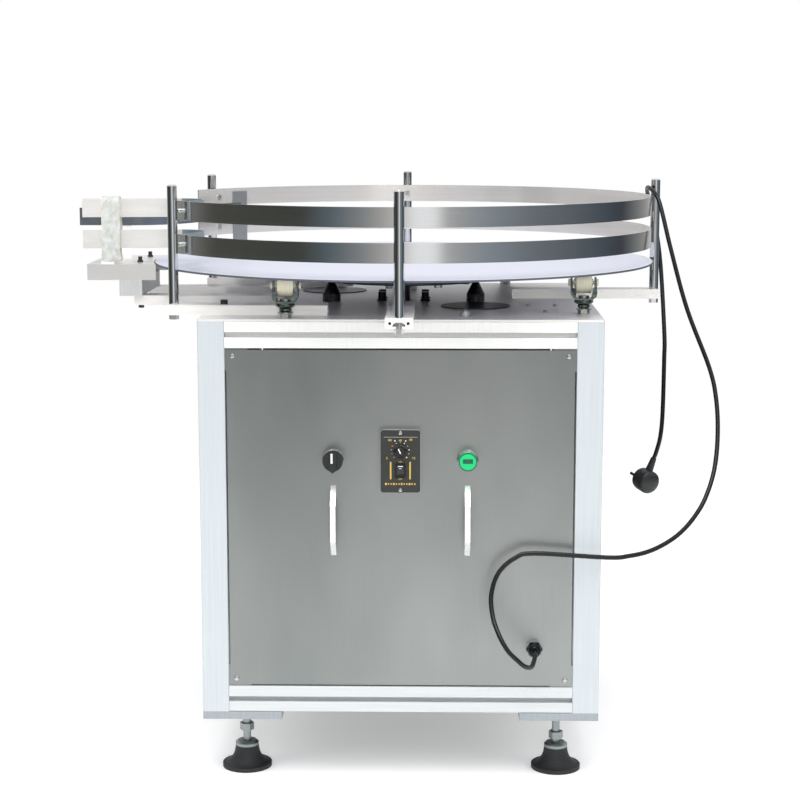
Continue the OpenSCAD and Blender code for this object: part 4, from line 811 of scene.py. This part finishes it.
pointer, stripe, marks = bmesh.new(), bmesh.new(), bmesh.new()
block(pointer, KNOB_OUT * math.sin(KNOB_TURN), DIAL_Z + KNOB_OUT * math.cos(KNOB_TURN),
      0.0014, 0.0078, KNOB_FRONT, GROOVE, KNOB_TURN)
add_piece("speed_pointer", pointer, white_ink, "speed_knob")
block(stripe, SELECTOR_X, CONTROLS_Z + 0.0056, 0.0027, 0.0146, GRIP_FRONT, GROOVE)
add_piece("selector_pointer", stripe, white_ink, "selector")
for z, y, w, h in ROCKER_MARKS:
    place = (Matrix.Translation((AXIS_X, y, SWITCH_Z + z))
             @ Matrix.Rotation(ROCKER_TILT, 4, "X"))
    bmesh.ops.create_cube(marks, size=1, matrix=place @ Matrix.Diagonal((w, 0.00024, h, 1)))
add_piece("rocker_marks", marks, white_ink, "rocker")

# %% [markdown]
# The lamp's face has a dark window and a darker rim. The rim is a thin ring, made by
# spinning a small section with four corners round the lamp's axis. A full spin
# leaves the section itself inside the ring, so that one face is deleted.

# %% Rim and window of the lamp
LAMP = Vector((0.1 + AXIS_X, -0.316, CONTROLS_Z))
RIM_SECTION = [(0.0122, -0.0001), (0.01385, -0.0001), (0.01385, 0.0004), (0.0122, 0.0009)]
WINDOW_Z, WINDOW_FRONT = CONTROLS_Z + 0.0007, -0.3158

# Dark green and clear: the deep tint of thick acrylic with no lamp behind it.
rim_green = grained("dark_green_acrylic", "0C5238", 0.0, 0.25, SPOTS, (0.2, 0.32), 0.00001,
                    ("083F2B", "11644A"), Coat_Weight=0.3, Coat_Roughness=0.1)
rim = bmesh.new()
rim.faces.new([rim.verts.new(LAMP + Vector((r, y, 0))) for r, y in RIM_SECTION])
bmesh.ops.spin(rim, geom=rim.verts[:] + rim.edges[:] + rim.faces[:], cent=LAMP,
               axis=(0, 1, 0), angle=2 * math.pi, steps=64, use_merge=True)
inner = [f for f in rim.faces if all(abs(v.co.z - LAMP.z) < 1e-7 for v in f.verts)]
bmesh.ops.delete(rim, geom=inner, context="FACES")
bmesh.ops.recalc_face_normals(rim, faces=rim.faces)
add_piece("lamp_rim", rim, rim_green, "cabinet")

window = bmesh.new()
block(window, 0.1001, WINDOW_Z, 0.0148, 0.0068, WINDOW_FRONT, 0.0005)
for k in range(6):  # the fine upright ribs that cross the window
    block(window, 0.0943 + k * 0.0023, WINDOW_Z, 0.0012, 0.0048, -0.3159, 0.0003)
add_piece("lamp_window", window, rim_green, "cabinet")

# %% [markdown]
# The floor is a pale disc that the cabinet stands on. Its size matters: the bands
# reflect what lies far in front of the cabinet, and a wide floor would fill them
# with white. Beyond it the world gives the room's light and dark. A little light of
# its own lifts the shadow, as a lit table under the object does in a studio.

# %% Pale floor
FLOOR_RADIUS, FLOOR_CENTRE = 2.2, (0, 0.3, -0.0005)  # a hair below the rubber feet

floor_finish = grained("pale_studio_floor", "E6E6E6", 0.0, 0.9, (0.004, 0.004, 0.004),
                       (0.85, 0.95), 0.0001, Emission_Color=hex_colour("FFFFFF"),
                       Emission_Strength=0.3)
ground = bmesh.new()
bmesh.ops.create_circle(ground, cap_ends=True, radius=FLOOR_RADIUS, segments=96)
bmesh.ops.translate(ground, verts=ground.verts, vec=FLOOR_CENTRE)
mesh = bpy.data.meshes.new("studio_floor")
ground.to_mesh(mesh)
ground.free()
mesh.materials.append(floor_finish)
floor = bpy.data.objects.new("studio_floor", mesh)
scene.collection.objects.link(floor)
print("floor of radius", FLOOR_RADIUS, "m")

# %% [markdown]
# The room is painted into the world by direction. Polished metal needs something to
# mirror: a bright strip in front of the cabinet, greys beside it and dark walls to
# the left and right give the bands and posts their stripes. The camera itself sees
# plain white, so that the background stays as pale as the floor.

# %% The room as a world
WALL_TOP, CEILING = 0.02, 0.55  # upward part of a direction where the walls fade out
# degrees from straight in front, positive to the right, and the colour seen there
ROOM = [(-180, "F2F2F0"), (-120, "8A8A86"), (-95, "4A4B45"), (-45, "3C3E39"), (-30, "5C6970"),
        (-16, "8C8D8E"), (-2, "C4C1BC"), (6, "FFFFFF"), (15, "FFFFFF"), (19, "B0B0AE"),
        (38, "8A929A"), (60, "6F767B"), (95, "525A62"), (118, "3C4148"), (150, "A0A09E"),
        (180, "F2F2F0")]

world = bpy.data.worlds.new("studio_room")
scene.world = world
world.use_nodes = True
world.node_tree.nodes.clear()
direction = add_node(world, "ShaderNodeTexCoord").outputs["Generated"]
parts = add_node(world, "ShaderNodeSeparateXYZ", links={0: direction}).outputs
minus_y = add_node(world, "ShaderNodeMath", {"operation": "MULTIPLY"}, values={1: -1.0},
                   links={0: parts["Y"]})
azimuth = add_node(world, "ShaderNodeMath", {"operation": "ARCTAN2"},
                   links={0: parts["X"], 1: minus_y.outputs[0]})
share = add_node(world, "ShaderNodeMapRange", values={"From Min": -math.pi, "From Max": math.pi},
                 links={"Value": azimuth.outputs[0]})
walls = add_node(world, "ShaderNodeValToRGB", links={"Fac": share.outputs["Result"]})
while len(walls.color_ramp.elements) < len(ROOM):
    walls.color_ramp.elements.new(0.5)
for element, (degrees, code) in zip(walls.color_ramp.elements, ROOM):
    element.position = (degrees + 180) / 360
    element.color = hex_colour(code)
height = add_node(world, "ShaderNodeMapRange", links={"Value": parts["Z"]},
                  values={"From Min": WALL_TOP, "From Max": CEILING, "To Min": 0.0, "To Max": 1.0})
sky = add_node(world, "ShaderNodeMix", {"data_type": "RGBA"}, values={7: hex_colour("F6F6F8")},
               links={0: height.outputs["Result"], 6: walls.outputs["Color"]})
is_camera = add_node(world, "ShaderNodeLightPath").outputs["Is Camera Ray"]
seen = add_node(world, "ShaderNodeMix", {"data_type": "RGBA"}, values={7: (1, 1, 1, 1)},
                links={0: is_camera, 6: sky.outputs[2]})
glow = add_node(world, "ShaderNodeBackground", values={"Strength": 1.0},
                links={"Color": seen.outputs[2]})
add_node(world, "ShaderNodeOutputWorld", links={"Surface": glow.outputs[0]})
print("colours round the room:", len(ROOM))

# %% [markdown]
# Four soft boxes light the cabinet: a large one above and in front, one for the left,
# one for the right, and a low one behind the camera that reaches the arms under the
# disc. Large boxes far away give soft shadows. Only the overhead box is mirrored, so
# that the chrome posts keep their dark sides.

# %% Soft boxes
def soft_box(name, place, aim, size, power, mirrored):
    """A round area light at a place, turned towards its aim; sizes in m, power in W."""
    light = bpy.data.lights.new(name, "AREA")
    light.shape = "DISK"
    light.size = size
    light.energy = power
    box = bpy.data.objects.new(name, light)
    box.location = place
    box.rotation_euler = (Vector(aim) - Vector(place)).to_track_quat("-Z", "Y").to_euler()
    box.visible_glossy = mirrored
    scene.collection.objects.link(box)
    print(name, power, "W")


MIDDLE = (0, 0, 0.5)  # middle of the cabinet
soft_box("overhead_box", (0, -1.6, 3.6), MIDDLE, 2.4, 70, True)
soft_box("left_box", (-3.2, -2.2, 2.0), MIDDLE, 1.8, 34, False)
soft_box("right_box", (3.2, -2.2, 2.0), MIDDLE, 1.8, 34, False)
soft_box("front_box", (0.2, -4.2, 0.95), (0.06, 0, 0.75), 1.2, 48, False)

# %% [markdown]
# The view layer is updated once more before the script ends. The dressed object keeps
# the real size of the frame.

# %% Update the scene
bpy.context.view_layer.update()
